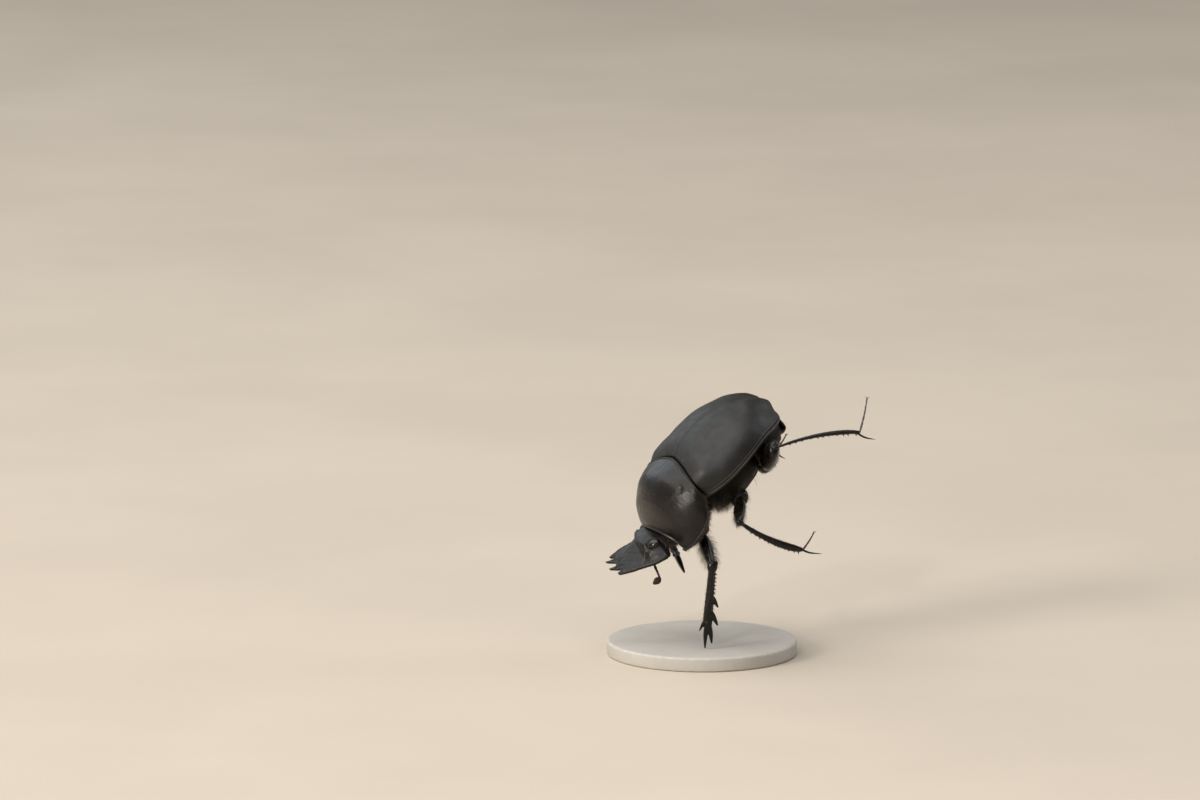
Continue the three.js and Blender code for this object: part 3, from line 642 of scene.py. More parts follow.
def row_y(row):
    """y of a row of the elytron, the rows closer together towards its tip."""
    return ELYTRA_LENGTH * (1 - (1 - row) ** 1.8)


def elytron_point(row, side, rise, inset=0.0):
    y = row_y(row)
    edge = elytra_edge(y)
    top = np.maximum(elytra_top(y), edge) - inset
    half = np.maximum(elytra_half(y) - inset, 0)
    z = mix(np.minimum(edge, top), top, rise) + callus(y, side)
    return surface(half * side, y + bulge(y, side, rise) + base_line(side) * (1 - row), z)


def elytron():
    rows, columns = 220, 240
    suture = 0.035
    row = (np.linspace(0, 1, rows) ** 1.15 * (1 - 1e-4))[:, None]
    arc = np.linspace(0, 1, columns)[None] ** 1.6  # closer together at the margin
    angle = np.pi / 2 * arc  # from the margin at 0 to the suture at 1
    arch = elytra_arch(row_y(row))
    points = elytron_point(row, np.cos(angle), np.sin(angle) ** arch)
    out = grid_normals(points, wrap=False)
    girth, length = run(points, 1), run(points, 0)
    to_suture = girth[:, -1:] - girth
    shrink = np.minimum(1, 3.2 * (1 - row))
    height = 0.05 * bell(to_suture, 0.14, 0.12) - 0.03 * bell(to_suture, 0.42, 0.16)
    rim = 0.08 * bell(girth, 0.05, 0.05) - 0.22 * bell(girth, 0.18, 0.07) + 0.05 * bell(girth, 0.33, 0.07)
    height += rim * shrink
    height -= 0.28 * np.exp(-((length / 0.16) ** 2))  # the base dips under the pronotum
    shoulder = np.linalg.norm((points - np.array([6.35, 0.75, 2.55])) / np.array([0.8, 0.8, 0.7]), axis=-1)
    height += 0.3 * np.exp(-shoulder ** 2)
    height += 0.022 * ripple(points, 3.0, 11) + 0.006 * ripple(points, 0.8, 12)
    height *= np.clip((1 - row) / 0.02, 0, 1)
    top = points + out * height[..., None]
    top[..., 0] = np.maximum(top[..., 0], suture)
    across = girth / girth[:, -1:]
    # Painted highlights and wear: the two rim lines and a faint line along the suture are painted lighter,
    # partly as wear and partly as painted highlights. The patch on the shoulder swelling is a painted
    # highlight.
    wear = np.maximum(0.9 * bell(girth, 0.05, 0.05), 0.8 * bell(girth, 0.32, 0.06))
    wear = np.maximum(wear, 0.1 * bell(to_suture, 0.1, 0.12))
    wear = np.maximum(wear, 0.8 * np.exp(-shoulder ** 2 * 2))

    # The strip under the margin: a dark groove, a second fine keel, then the turned-in face. Each row's third
    # number paints it lighter, as wear and as a painted highlight along the keel.
    strip = [(0.05, -0.06, 0.2), (0.16, -0.09, 0.0), (0.24, -0.15, 0.0), (0.18, -0.21, 0.3),
             (0.15, -0.26, 0.5), (0.22, -0.33, 0.1), (0.5, -0.4, 0.0), (0.9, -0.34, 0.0)]
    under = [top[:, :1] + np.array([-x, 0, z]) * shrink[..., None] for x, z, _ in strip]
    suture_side = [np.maximum(top[:, -1:], [suture, -99, -99]) + np.array([0, 0, -d]) * shrink[..., None]
                   for d in (0.05, 0.2, 0.45)]
    inner = elytron_point(row, np.cos(angle), np.sin(angle) ** arch, ELYTRA_THICKNESS * shrink)[:, ::-8]
    sheet = np.concatenate(under[::-1] + [top] + suture_side + [inner], 1)
    sheet[..., 0] = np.maximum(sheet[..., 0], suture)
    strip_wear_and_highlight = np.array([w for _, _, w in strip][::-1])[None] * np.ones((rows, 1))
    tail = len(suture_side) + inner.shape[1]
    whole_wear_and_highlight = np.concatenate([strip_wear_and_highlight, wear, np.zeros((rows, tail))], 1)
    lanes = np.concatenate([np.zeros((rows, len(strip))), across, np.ones((rows, tail))], 1)
    first = sheet.mean(1, keepdims=True)[:1] * np.ones_like(sheet[:1])
    whole = np.concatenate([first, sheet], 0)
    whole_wear_and_highlight = np.concatenate([whole_wear_and_highlight[:1], whole_wear_and_highlight])
    lanes = np.concatenate([lanes[:1], lanes])
    down = np.concatenate([length[:1], length])[:, :1] * np.ones_like(lanes)
    return whole, dict(wear=whole_wear_and_highlight, across=lanes, down=down)


# ------------------------------------------------------------------ underside


def trunk_body(start, end, bottom, rounds, relief):
    """The body under the elytra, with grooves between its plates, from one y to another."""
    clear = ELYTRA_THICKNESS + 0.42
    t, close = (a[:, None] for a in lengthwise(130, *rounds))
    y = mix(start, end, t)
    sample = np.clip(y, 0, ELYTRA_LENGTH)
    half = np.maximum(elytra_half(sample) - clear, 0.2) * close
    top = elytra_top(sample) - clear
    edge = elytra_edge(sample) - EPIPLEURON - 0.15
    angle = circle(220)[None]
    lift = np.sin(angle)
    above = np.maximum(top - edge, 0.2) * np.maximum(lift, 0)
    below = (edge - bottom(y)) * -(np.maximum(-lift, 0) ** 0.7)
    x = half * np.cos(angle) * np.where(lift < 0, mix(1, 0.88, -lift), 1)
    points = surface(x, y, edge + np.where(lift > 0, above, below) * close)
    out = grid_normals(points, wrap=True)
    under = smoothstep(-lift, 0.05, 0.3) * np.ones_like(y)
    return points + out * (relief(points) * under * close)[..., None], out


def thorax_relief(points):
    x, y = np.abs(points[..., 0]), points[..., 1]
    height = -0.14 * bell(points[..., 0], 0, 0.16) * smoothstep(y, 1.4, 3.5)  # the median furrow
    height -= 0.16 * bell(y + 0.12 * x, 1.25, 0.13) * smoothstep(-x, -5.5, -1)  # the metasternum's front
    height -= 0.15 * bell(x - 0.16 * (y - 3), 5.6, 0.14) * smoothstep(y, 0.2, 1.2)  # the episternum's seam
    height += 0.16 * bell(x, 1.6, 1.0) * bell(y, 4.6, 1.5)
    return height + 0.02 * ripple(points, 1.3, 21)


def abdomen_relief(points):
    x, y = np.abs(points[..., 0]), points[..., 1]
    height = np.zeros_like(x)
    for groove in (7.3, 8.35, 9.3, 10.15, 10.9, 11.6):
        curved = y - 0.035 * x ** 2 * (groove - 6.4) / 5
        height -= 0.13 * bell(curved, groove, 0.09)
        height += 0.05 * bell(curved, groove - 0.25, 0.2)
    return height + 0.015 * ripple(points, 1.1, 22)


def prothorax_underside():
    t, close = (a[:, None] for a in lengthwise(100, 0.45, 0.12))
    s = mix(0.13, 1.0, t)
    angle = circle(180)[None]
    lift = np.sin(angle)
    top = pronotum_edge(s) - 0.1
    bottom = mix(-4.3, VENTER + 0.5, t)
    narrow = np.where(lift < 0, mix(1, 0.62, np.maximum(-lift, 0) ** 0.5), 1)
    x = (pronotum_half(s) - 1.1) * np.cos(angle) * close * narrow
    z = np.where(lift > 0, top + 0.1 * lift, mix(top, bottom, np.maximum(-lift, 0) ** 0.75 * close))
    points = surface(x, mix(CHEST_FRONT, CHEST_REAR, t), z)
    out = grid_normals(points, wrap=True)
    height = 0.03 * ripple(points, 0.9, 31) - 0.14 * bell(np.abs(points[..., 0]), 4.3, 0.16)
    return points + out * (height * close * smoothstep(-lift, 0, 0.3))[..., None], out


def pygidium():
    v = np.linspace(0, 1, 60)[:, None]
    angle = circle(90)[None]
    reach = np.sin(np.pi * v)
    reach[-1] = 0
    half_width, half_height = 3.3, 1.45
    z = half_height * np.sin(angle) * reach
    narrow = 1 - 0.35 * np.maximum(0, -z / half_height)
    x = half_width * np.cos(angle) * reach * narrow
    rim = 0.07 * bell(reach, 0.9, 0.07) - 0.05 * bell(reach, 0.74, 0.08)
    y = -0.55 * np.cos(np.pi * v) + rim * np.where(v > 0.5, 1, 0)
    return surface(x, y, z) @ turned("x", PYGIDIUM_TILT).T + PYGIDIUM


# ------------------------------------------------------------------ head

head_middle = through((-7.1, -0.05), (-6.6, -0.45), (-6.1, -0.72), (-5.4, -0.5), (-4.6, -0.3), (-3.4, -0.12),
                      (-2.4, -0.02), (-1.6, 0.1), (-0.6, 0.1), (0.2, -0.35), (1.6, -1.3))
head_edge = through((-7.1, -0.3), (-6.2, -0.82), (-4.6, -1.25), (-3.4, -1.65), (-1.6, -2.15),
                    (-0.3, -2.37), (1.6, -2.8))
head_half = through((-7.1, 3.3), (-6.4, 3.4), (-5.35, 3.95), (-3.7, 4.55), (-2.4, 5.05), (-0.9, 5.5),
                    (-0.2, 5.3), (0.3, 4.4), (1.6, 3.0))
# Half of the shield in plan, from the neck round the cheek and two teeth to the notch in front.
HEAD_PLAN = [
    (0, 1.7), (2.5, 1.7), (2.9, 1.1), (3.4, 0.65), (4.3, 0.3), (5.15, 0.0), (5.45, -0.35), (5.52, -0.85),
    (5.38, -1.6), (5.1, -2.4), (4.72, -3.3), (4.58, -3.55), (4.55, -3.72), (4.35, -4.5), (4.0, -5.3),
    (3.65, -5.85), (3.4, -6.25), (3.2, -6.45), (3.0, -6.35), (2.8, -6.0), (2.45, -5.85), (2.1, -5.9),
    (1.85, -6.15), (1.6, -6.65), (1.4, -7.1), (1.15, -6.75), (0.85, -6.3), (0.45, -6.06), (0, -6.0),
]
HEAD_CENTRE = np.array([0, -2.4])


def head_outline(samples):
    """The shield's toothed outline in plan, closed, its corners a little rounded."""
    half = np.array(HEAD_PLAN)
    ring = np.concatenate([half, (half * [-1, 1])[-2:0:-1]])
    for _ in range(3):
        ahead = np.roll(ring, -1, 0)
        ring = np.stack([mix(ring, ahead, 0.22), mix(ring, ahead, 0.78)], 1).reshape(-1, 2)
    closed = np.concatenate([ring, ring[:1]])
    distance = run(closed, 0)
    at = np.arange(samples) / samples * distance[-1]
    return np.stack([np.interp(at, distance, closed[:, i]) for i in (0, 1)], -1)


def head_top(x, y):
    """The clypeus slopes evenly to its margin, the vault behind it falls away at the sides."""
    fall_off = mix(1.35, 2.4, smoothstep(y, -2.7, -1.7))
    return mix(head_middle(y), head_edge(y), np.minimum(1.2, np.abs(x) / head_half(y)) ** fall_off)


def seam(x, y, line, width):
    """1 on a line of points in plan, falling off to its sides."""
    nearest = np.full(np.broadcast(x, y).shape, 1e9)
    for (ax, ay), (bx, by) in zip(line[:-1], line[1:]):
        dx, dy = bx - ax, by - ay
        share = np.clip(((x - ax) * dx + (y - ay) * dy) / (dx ** 2 + dy ** 2), 0, 1)
        nearest = np.minimum(nearest, np.hypot(x - mix(ax, bx, share), y - mix(ay, by, share)))
    return np.exp(-((nearest / width) ** 2))


GENAL_SEAM = [(4.62, -3.55), (4.05, -3.15), (3.5, -2.5), (3.2, -1.9), (2.95, -1.6)]
FRONTAL_SEAM = [(3.2, -2.1), (2.4, -2.3), (1.3, -2.45), (0, -2.6)]


def head():
    samples, rings = 560, 110
    outline = head_outline(samples)
    reach = 1 - (1 - np.linspace(0, 1, rings)) ** 1.7
    plan = HEAD_CENTRE + (outline - HEAD_CENTRE)[None] * reach[:, None, None]
    margin = np.stack([np.linalg.norm(ring[:, None] - outline[None], axis=-1).min(1) for ring in plan])
    x, y = plan[..., 0], plan[..., 1]
    ax = np.abs(x)
    shield = smoothstep(-y, -0.4, 0.6)  # 0 on the hidden neck, 1 on the shield
    height = (0.12 * bell(margin, 0.09, 0.12) - 0.05 * bell(margin, 0.4, 0.2)) * shield
    height += 0.2 * bell(ax, 2.3, 0.8) * bell(y, -1.8, 0.45)  # a low tubercle on each side of the frons
    height += 0.09 * seam(ax, y, GENAL_SEAM, 0.09) - 0.07 * seam(ax, y, GENAL_SEAM, 0.26)
    height -= 0.06 * seam(ax, y, FRONTAL_SEAM, 0.16)
    height += 0.12 * seam(ax, y, [(2.7, -1.52), (2.88, -1.6)], 0.15)
    height += 0.12 * seam(ax, y, [(3.45, -1.82), (3.5, -1.9)], 0.13)
    orbit = np.hypot((ax - EYE_CENTRE[0]) / 1.02, (y - EYE_CENTRE[1]) / 1.15)
    height += 0.05 * bell(orbit, 1.0, 0.12) - 0.2 * bell(orbit, 0.76, 0.08)
    rugose = smoothstep(-y, 1.2, 2.4) * 0.8 + 0.2
    height += 0.02 * ripple(surface(x, y, 0), 0.9, 41) + rugose * 0.012 * ripple(surface(x, y, 0), 0.4, 42)
    top = surface(x, y, head_top(x, y) + height)
    teeth = smoothstep(-y, 5.6, 6.6)
    # Painted highlights and wear: the rim, strongest at the teeth, is painted lighter as wear and as a
    # painted highlight. The pale streak along the genal seam is a painted highlight.
    wear = bell(margin, 0.08, 0.09) * shield * mix(0.25, 1, teeth)
    wear = np.maximum(wear, 0.5 * seam(ax, y, GENAL_SEAM, 0.09))
    rugose *= smoothstep(margin, 0.15, 0.4)

    # Round the edge, then back under, where the skull deepens towards the mouth.
    edge = top[-1]
    inward = unit(np.concatenate([HEAD_CENTRE - outline, np.zeros((samples, 1))], 1))
    lip = 0.15
    turn = np.radians([30, 60, 90, 120, 150, 180])
    down = np.array([0, 0, lip])
    rim_rows = [edge + inward * lip * (1 - np.sin(a)) * 0.6 + down * (np.cos(a) - 1) for a in turn]
    back = reach[::-3][1:]
    under_plan = HEAD_CENTRE + (outline - HEAD_CENTRE)[None] * back[:, None, None]
    ux, uy = under_plan[..., 0], under_plan[..., 1]
    inside = margin[::-3][1:]
    wide = mix(4.2, 3.0, smoothstep(uy, -4.5, -2.5))
    deepen = 2.4 * smoothstep(uy, HEAD_FRONT + 0.8, -2.5) * (1 - np.minimum(1, np.abs(ux) / wide) ** 2)
    uz = head_top(ux, uy) - 2 * lip - 0.25 * smoothstep(inside, 0, 0.8) - deepen
    uz = mix(edge[:, 2] - 2 * lip, uz, smoothstep(inside, 0, 0.3))
    below = surface(ux, uy, uz)
    smooth = np.zeros((len(rim_rows) + len(below), samples))
    whole = np.concatenate([top, np.array(rim_rows), below], 0)
    return whole, np.concatenate([wear, smooth], 0), np.concatenate([rugose, smooth], 0)


def eye(side):
    v = np.linspace(0, np.pi, 60)[:, None]
    u = circle(90)[None]
    ball = surface(np.sin(v) * np.cos(u), np.sin(v) * np.sin(u), -np.cos(v))
    ball[0, :, :2] = ball[-1, :, :2] = 0
    return (ball * EYE_RADII + EYE_CENTRE) * [side, 1, 1]


def antenna(side):
    shell = Shell()
    stalk = np.array([(2.2, -1.85, -1.6), (3.45, -2.3, -2.93), (3.8, -2.47, -3.33), (4.0, -2.56, -3.66),
                      (4.13, -2.68, -3.97), (4.23, -2.76, -4.22), (4.3, -2.84, -4.4)])
    radii = (0.21, 0.19, 0.17, 0.155, 0.15, 0.16)
    jointed(shell, stalk, radii, lambda t: mix(0.7, 1.1, t), (1, 0, 0), (0.12, 0.06), 20, 20)
    # The club: three leaves that lie against each other like a little book.
    for offset, length in ((-0.28, 1.12), (0.0, 1.25), (0.28, 1.1)):
        start = np.array([4.3 + 0.5 * offset, -2.72, -4.36])
        end = start + np.array([-0.1 + 0.35 * offset, -1.0, -0.06 + 0.1 * abs(offset)]) * length
        bent = path(start, (start + end) / 2 + np.array([0, 0, -0.06]), end)
        width = lambda t: 0.4 * np.sin(np.pi * np.clip(0.1 + 0.82 * t, 0, 1)) ** 0.7
        depth = lambda t: 0.14 * np.sin(np.pi * np.clip(0.12 + 0.8 * t, 0, 1)) ** 0.5
        shell.grid(limb(bent, (0, 0.3, 1), width, depth, 28, 30))
    shell.points = [points * [side, 1, 1] for points in shell.points]
    if side < 0:
        shell.faces = [faces[:, ::-1] for faces in shell.faces]
    return shell


def mouthparts():
    shell = Shell()
    wide = lambda w: (lambda t: w * mix(0.6, 1, np.sin(np.pi * t) ** 0.5))
    palate = path((0, -5.3, -2.1), (0, -3.9, -2.85), (0, -2.6, -3.4))
    shell.grid(limb(palate, (1, 0, 0), wide(1.5), wide(0.4), 40, 40))
    palp = np.array([(1.0, -3.9, -2.5), (1.3, -4.25, -2.5), (1.6, -4.65, -2.4), (1.75, -5.0, -2.2),
                     (1.8, -5.4, -1.95)])
    fat = lambda t: mix(0.7, 1.1, np.sin(np.pi * t) ** 0.7)
    lobe = lambda t: 0.5 * np.sin(np.pi * np.clip(0.15 + 0.75 * t, 0, 1))
    for side in (1, -1):
        jointed(shell, palp * [side, 1, 1], (0.2, 0.2, 0.21, 0.19), fat, (1, 0, 0), (0.1, 0.08), 18, 18)
        maxilla = path((0.7 * side, -4.3, -2.4), (0.9 * side, -4.9, -2.15), (0.8 * side, -5.4, -1.75))
        shell.grid(limb(maxilla, (1, 0, 0), lobe, lambda t: 0.5 * lobe(t), 24, 24))
    return shell


# ------------------------------------------------------------------ legs


HIP_END = 0.16  # where the femur starts, as a share of the way from coxa to knee


def heading(leg, start, end):
    return unit(leg[end] - leg[start])


def coxa(leg, size):
    start, end = (mix(leg["coxa"], leg["knee"], t) for t in (-0.1, HIP_END))
    return limb(path(start, end), leg["flat"], even(size["coxa"]), even(0.85 * size["coxa"]), 60, 50)


def femur(leg, size):
    start = mix(leg["coxa"], leg["knee"], HIP_END) + heading(leg, "coxa", "knee") * GAP
    shape = through((0, 0.72), (0.35, 1), (0.75, 0.85), (1, 0.72))
    width = lambda t: size["femur"] * shape(t)
    depth = lambda t: 0.62 * size["femur"] * shape(t)
    keel = lambda t, a: 0.03 * np.exp(-((np.sin(a) / 0.25) ** 2)) + 0.012 * np.sin(5 * a + 9 * t)
    flat = leg.get("femur_flat", leg["flat"])
    return limb(path(start, leg["knee"]), flat, width, depth, 90, 90, relief=keel)


def tibia_curve(leg):
    start, bow = mix(leg["knee"], leg["ankle"], 0.02), leg.get("bow", np.zeros(3))
    return path(*[mix(start, leg["ankle"], t) + bow * 4 * t * (1 - t) for t in np.linspace(0, 1, 7)])


def knee_joint(leg, size, shell):
    """The rounded head of the tibia in the fork of the femur."""
    knee, down, r = leg["knee"], heading(leg, "knee", "ankle"), size["knee"]
    knob = lambda t: r * np.sin(np.pi * np.clip(0.06 + 0.88 * t, 0, 1)) ** 0.5
    condyle = path(knee - down * r * 1.05, knee + down * r * 1.5)
    shell.grid(limb(condyle, leg["flat"], knob, lambda t: 0.85 * knob(t), 30, 30))
    lobe = lambda t: 0.42 * knob(t)
    for side in (1, -1):  # the two lobes of the femur that hold it
        at = knee + unit(leg["flat"]) * 0.62 * r * side
        shell.grid(limb(path(at - down * r * 1.1, at + down * r * 0.25), leg["flat"], lobe, lobe, 20, 20))


def slender_tibia(leg, size, seed):
    """A thin bowed tibia with a row of spines along its outer edge and a spur at its end."""
    shell = Shell()
    grow = through((0, 0.7), (0.3, 0.76), (0.85, 1.12), (1, 1.0))
    curve, flat = tibia_curve(leg), unit(leg["flat"])
    width, depth = lambda t: size["tibia"] * grow(t), lambda t: size["thick"] * grow(t)
    ridges = lambda t, a: 0.02 * np.cos(6 * a)
    shaft = limb(curve, leg["flat"], width, depth, 60, 110, keel=1.55, relief=ridges)
    shell.grid(shaft)
    knee_joint(leg, size, shell)
    root, tip = mix(leg["ankle"], leg["knee"], 0.04), leg["ankle"] + leg["spur"]
    shell.grid(spike(root, tip, 0.17, 0.25, bend=leg["flat"] * -0.22))
    rng = np.random.default_rng(seed)
    for t in np.linspace(0.16, 0.93, 11):
        place, way = (a[0] for a in curve(np.array([t + rng.uniform(-0.02, 0.02)])))
        lean = way * 0.42 - flat * (size["tibia"] * grow(t) + rng.uniform(0.12, 0.26))
        shell.grid(spike(place, place + lean, 0.15, 0.25, around=10, along=14))
    return shell, shaft


# The teeth of a digging tibia: share of its length, reach outward and forward, radius at the root.
TEETH = ((0.5, 1.15, 1.35, 0.42), (0.74, 1.3, 1.75, 0.46), (0.93, 0.75, 2.6, 0.44), (0.93, -0.05, 3.3, 0.4),
         (0.86, -0.95, 1.6, 0.3))
# The low bumps on its face: share of its length, place outward from its axis, radius.
BOSSES = ((0.3, 0.1, 0.2), (0.5, 0.25, 0.26), (0.62, -0.2, 0.2), (0.76, 0.2, 0.27), (0.9, -0.1, 0.24))


def digging_tibia(leg, size):
    """A flat blade with four teeth along its outer edge, fine saw teeth between them and a spur inside."""
    shell = Shell()
    grow = through((0, 0.8), (0.2, 0.68), (0.6, 0.72), (1, 1))
    width, depth = lambda t: size["tibia"] * grow(t), lambda t: size["thick"] * mix(1.35, 1.1, t)
    ripples = lambda t, a: 0.05 * np.cos(6 * a + 9 * t) * np.sin(np.pi * t) ** 0.5
    shaft = limb(tibia_curve(leg), leg["flat"], width, depth, 72, 110, keel=1.5, relief=ripples)
    shell.grid(shaft)
    knee_joint(leg, size, shell)
    down, flat = heading(leg, "knee", "ankle"), leg["flat"]
    out = unit(flat - down * (flat @ down))
    for t, outward, forward, radius in TEETH:
        root = mix(leg["knee"], leg["ankle"], t)
        tip, bend = root + out * outward + down * forward, out * 0.1 * np.sign(outward)
        shell.grid(spike(root - down * 0.25, tip, radius, 0.3, bend=bend, around=14, along=24))
    face = np.cross(out, down) * (size["thick"] * 1.12 + 0.02)
    for t, outward, radius in BOSSES:
        root = mix(leg["knee"], leg["ankle"], t) + out * outward
        shell.grid(limb(path(root - face, root + face), out, even(radius), even(radius), 20, 30))
    saw = out * (size["tibia"] * 0.72 + 0.16) + down * 0.1
    for t in np.linspace(0.12, 0.42, 6):
        root = mix(leg["knee"], leg["ankle"], t)
        shell.grid(spike(root, root + saw, 0.2, 0.3, around=8, along=10))
    return shell, shaft


def tarsus(leg):
    """Five joints, each widening to its end, and a pair of claws."""
    shell = Shell()
    ankle, reach, way = leg["ankle"], np.linalg.norm(leg["tarsus"]), unit(leg["tarsus"])
    middle = ankle + way * reach * 0.5 + np.array([0, 0.1, 0])
    curve = path(ankle - way * 0.1, middle, ankle + way * (reach - 0.45))
    places = curve(np.array([0, 0.32, 0.5, 0.65, 0.79, 1.0]))[0]
    radii = np.linspace(0.14, 0.1, 5)
    jointed(shell, places, radii, lambda t: mix(0.75, 1.1, t), leg["flat"], (0.1, 0.05), 16, 22)
    side, end = unit(np.cross(way, leg["flat"])), places[-1]
    for s in (-1, 1):
        tip = end + way * 0.42 + side * 0.2 * s
        shell.grid(spike(end - way * 0.05, tip, 0.055, 0.2, bend=side * 0.09 * s, around=8, along=12))
    return shell


# ------------------------------------------------------------------ hairs


class Coat:
    """Stiff hairs as thin three-sided spikes, gathered into one piece with the bake's map."""

    TILES = 4  # the map is a square of this many patches of skin a side
    PATCH = 0.003  # side of one hair's place on the map
    STATIONS = np.array([0.0, 0.36, 0.7, 1.0])
    CORNERS = 10  # of one hair: three for each station but the last, which is a point

    def __init__(self, name, seed):
        self.name, self.rng, self.tile = name, np.random.default_rng(seed), 0
        self.points, self.maps, self.marks = [], [], []

    def add(self, points, out, count, way, length, wrap=True, weight=1.0, lift=0.35, droop=0.25,
            radius=0.0125, spread=0.35):
        """Grows hairs on a grid of skin, denser where weight is higher. way is where they lean, lift how
        far they stand up from the skin."""
        weight = np.broadcast_to(weight, points.shape[:2])
        if wrap:
            points, out, weight = (np.concatenate([a, a[:, :1]], 1) for a in (points, out, weight))
        du, dv = np.diff(points, axis=1)[:-1], np.diff(points, axis=0)[:, :-1]
        area = np.linalg.norm(np.cross(du, dv), axis=-1) * weight[:-1, :-1]
        rows, columns = area.shape
        pick = self.rng.choice(area.size, count, p=area.ravel() / area.sum())
        r, c = np.divmod(pick, columns)
        fr, fc = self.rng.random((2, count, 1))
        near, far = (mix(points[row, c], points[row, c + 1], fc) for row in (r, r + 1))
        root = mix(near, far, fr)
        normal = unit(out[r, c])
        lean = np.broadcast_to(np.asarray(way, float), (count, 3)) + self.rng.normal(0, spread, (count, 3))
        lean = unit(lean - normal * (lean * normal).sum(-1, keepdims=True))
        direction = unit(lean * (1 - lift) + normal * (lift + self.rng.normal(0, 0.08, (count, 1))))
        size = length * self.rng.uniform(0.6, 1.15, (count, 1))
        place = np.stack([(c + fc[:, 0]) / columns, (r + fr[:, 0]) / rows], -1)
        self.grow(root - direction * 0.06, direction, lean, size, droop, radius, place)

    def grow(self, root, direction, lean, size, droop, radius, place):
        count = len(root)
        t = self.STATIONS[None, :, None]
        spine = root[:, None] + size[:, None] * (direction[:, None] * t + lean[:, None] * droop * t * t)
        side = unit(np.cross(direction, self.rng.normal(size=(count, 3))))
        other = np.cross(direction, side)
        thick = radius * self.rng.uniform(0.7, 1.2, (count, 1, 1)) * (1 - t ** 1.6)
        side, other = side[:, None], other[:, None]
        corners = [spine + thick * (np.cos(a) * side + np.sin(a) * other) for a in circle(3)]
        rings = np.stack(corners, 2).reshape(count, -1, 3)
        self.points.append(rings[:, :self.CORNERS].reshape(-1, 3))
        row, column = divmod(self.tile % self.TILES ** 2, self.TILES)
        home = (np.array([column, row]) + 0.02 + 0.95 * place) / self.TILES
        inside = np.stack(np.meshgrid(self.STATIONS, [0.0, 0.5, 1.0], indexing="ij"), -1).reshape(-1, 2)
        self.maps.append((home[:, None] + self.PATCH * inside[None, :self.CORNERS]).reshape(-1, 2))
        self.marks.append(np.tile(np.repeat(self.STATIONS, 3)[:self.CORNERS], count))
        self.tile += 1

    def build(self, place, material):
        points, maps = np.concatenate(self.points), np.concatenate(self.maps)
        first = (np.arange(len(points) // self.CORNERS) * self.CORNERS)[:, None, None]
        rings, tip = len(self.STATIONS) - 1, self.CORNERS - 1
        triangles = [(2, 1, 0)]
        for k in range(3):
            ahead = (k + 1) % 3
            for ring in range(0, 3 * (rings - 1), 3):
                a, b = ring + k, ring + ahead
                triangles += [(a, b, b + 3), (a, b + 3, a + 3)]
            triangles.append((tip - 3 + k, tip - 3 + ahead, tip))
        faces = (first + np.array(triangles)[None]).reshape(-1, 3)
        mesh = raw_mesh(self.name, place(points), faces, MM)
        order = np.empty(len(mesh.loops), np.int32)
        mesh.loops.foreach_get("vertex_index", order)
        layer = mesh.uv_layers.new(name="OFBake")
        layer.data.foreach_set("uv", maps[order].astype(np.float32).ravel())
        marks = np.concatenate(self.marks).astype(np.float32)
        mesh.attributes.new("along", "FLOAT", "POINT").data.foreach_set("value", marks)
        return piece(self.name, mesh, material)


# ------------------------------------------------------------------ building the beetle

pronotum_shell, pronotum_grid = pronotum()
shell_piece("pronotum_shield", pronotum_shell, trunk, pronotum_skin, ["pronotum"])

wing, wing_marks = elytron()
for side, sign in (("left", 1), ("right", -1)):
    shell = Shell().grid(wing * np.array([sign, 1, 1]), **wing_marks)
    shell_piece(f"wing_case_{side}", shell, trunk, elytra_skin, [f"elytron_{side}"])

thorax_bottom = through((-1.4, -3.6), (0.3, VENTER - 0.1), (WAIST, VENTER))
abdomen_bottom = through((WAIST + 0.1, VENTER), (10.6, VENTER - 0.1), (12.2, VENTER + 0.5))
thorax_grid, thorax_out = trunk_body(THORAX_FRONT, WAIST, thorax_bottom, (0.12, 0.06), thorax_relief)
abdomen_grid, abdomen_out = trunk_body(WAIST + GAP, ABDOMEN_END, abdomen_bottom, (0.06, 0.25), abdomen_relief)
chest_grid, chest_out = prothorax_underside()
neck_of_thorax = limb(path(*PEDUNCLE), (1, 0, 0), even(3.4), even(1.5))
for name, shell, node in (
    ("thorax_plates", unworn(thorax_grid, neck_of_thorax), "thorax_underside"),
    ("abdomen_plates", unworn(abdomen_grid), "abdomen"),
    ("prothorax_plates", unworn(chest_grid), "prothorax_underside"),
    ("tail_plate", unworn(pygidium()), "pygidium"),
):
    shell_piece(name, shell, trunk, under_skin, [node])

head_grid, head_wear_and_highlight, head_rugose = head()
shield = Shell().grid(head_grid, wear=head_wear_and_highlight, rugose=head_rugose)
shell_piece("head_shield", shield, neck, head_skin, ["head"])
eye_finish = eye_material()
for side, sign in (("left", 1), ("right", -1)):
    shell_piece(f"compound_eye_{side}", unworn(eye(sign)), neck, eye_finish, [f"eye_{side}"])
    feeler = fused(antenna(sign), neck, voxel=0.035, rounds=2)
    piece(f"feeler_{side}", feeler, antenna_skin, [f"antenna_{side}"])
palps = fused(mouthparts(), neck, voxel=0.05, rounds=2)
piece("mouth_palps", palps, mouth_skin, ["mouthparts"])

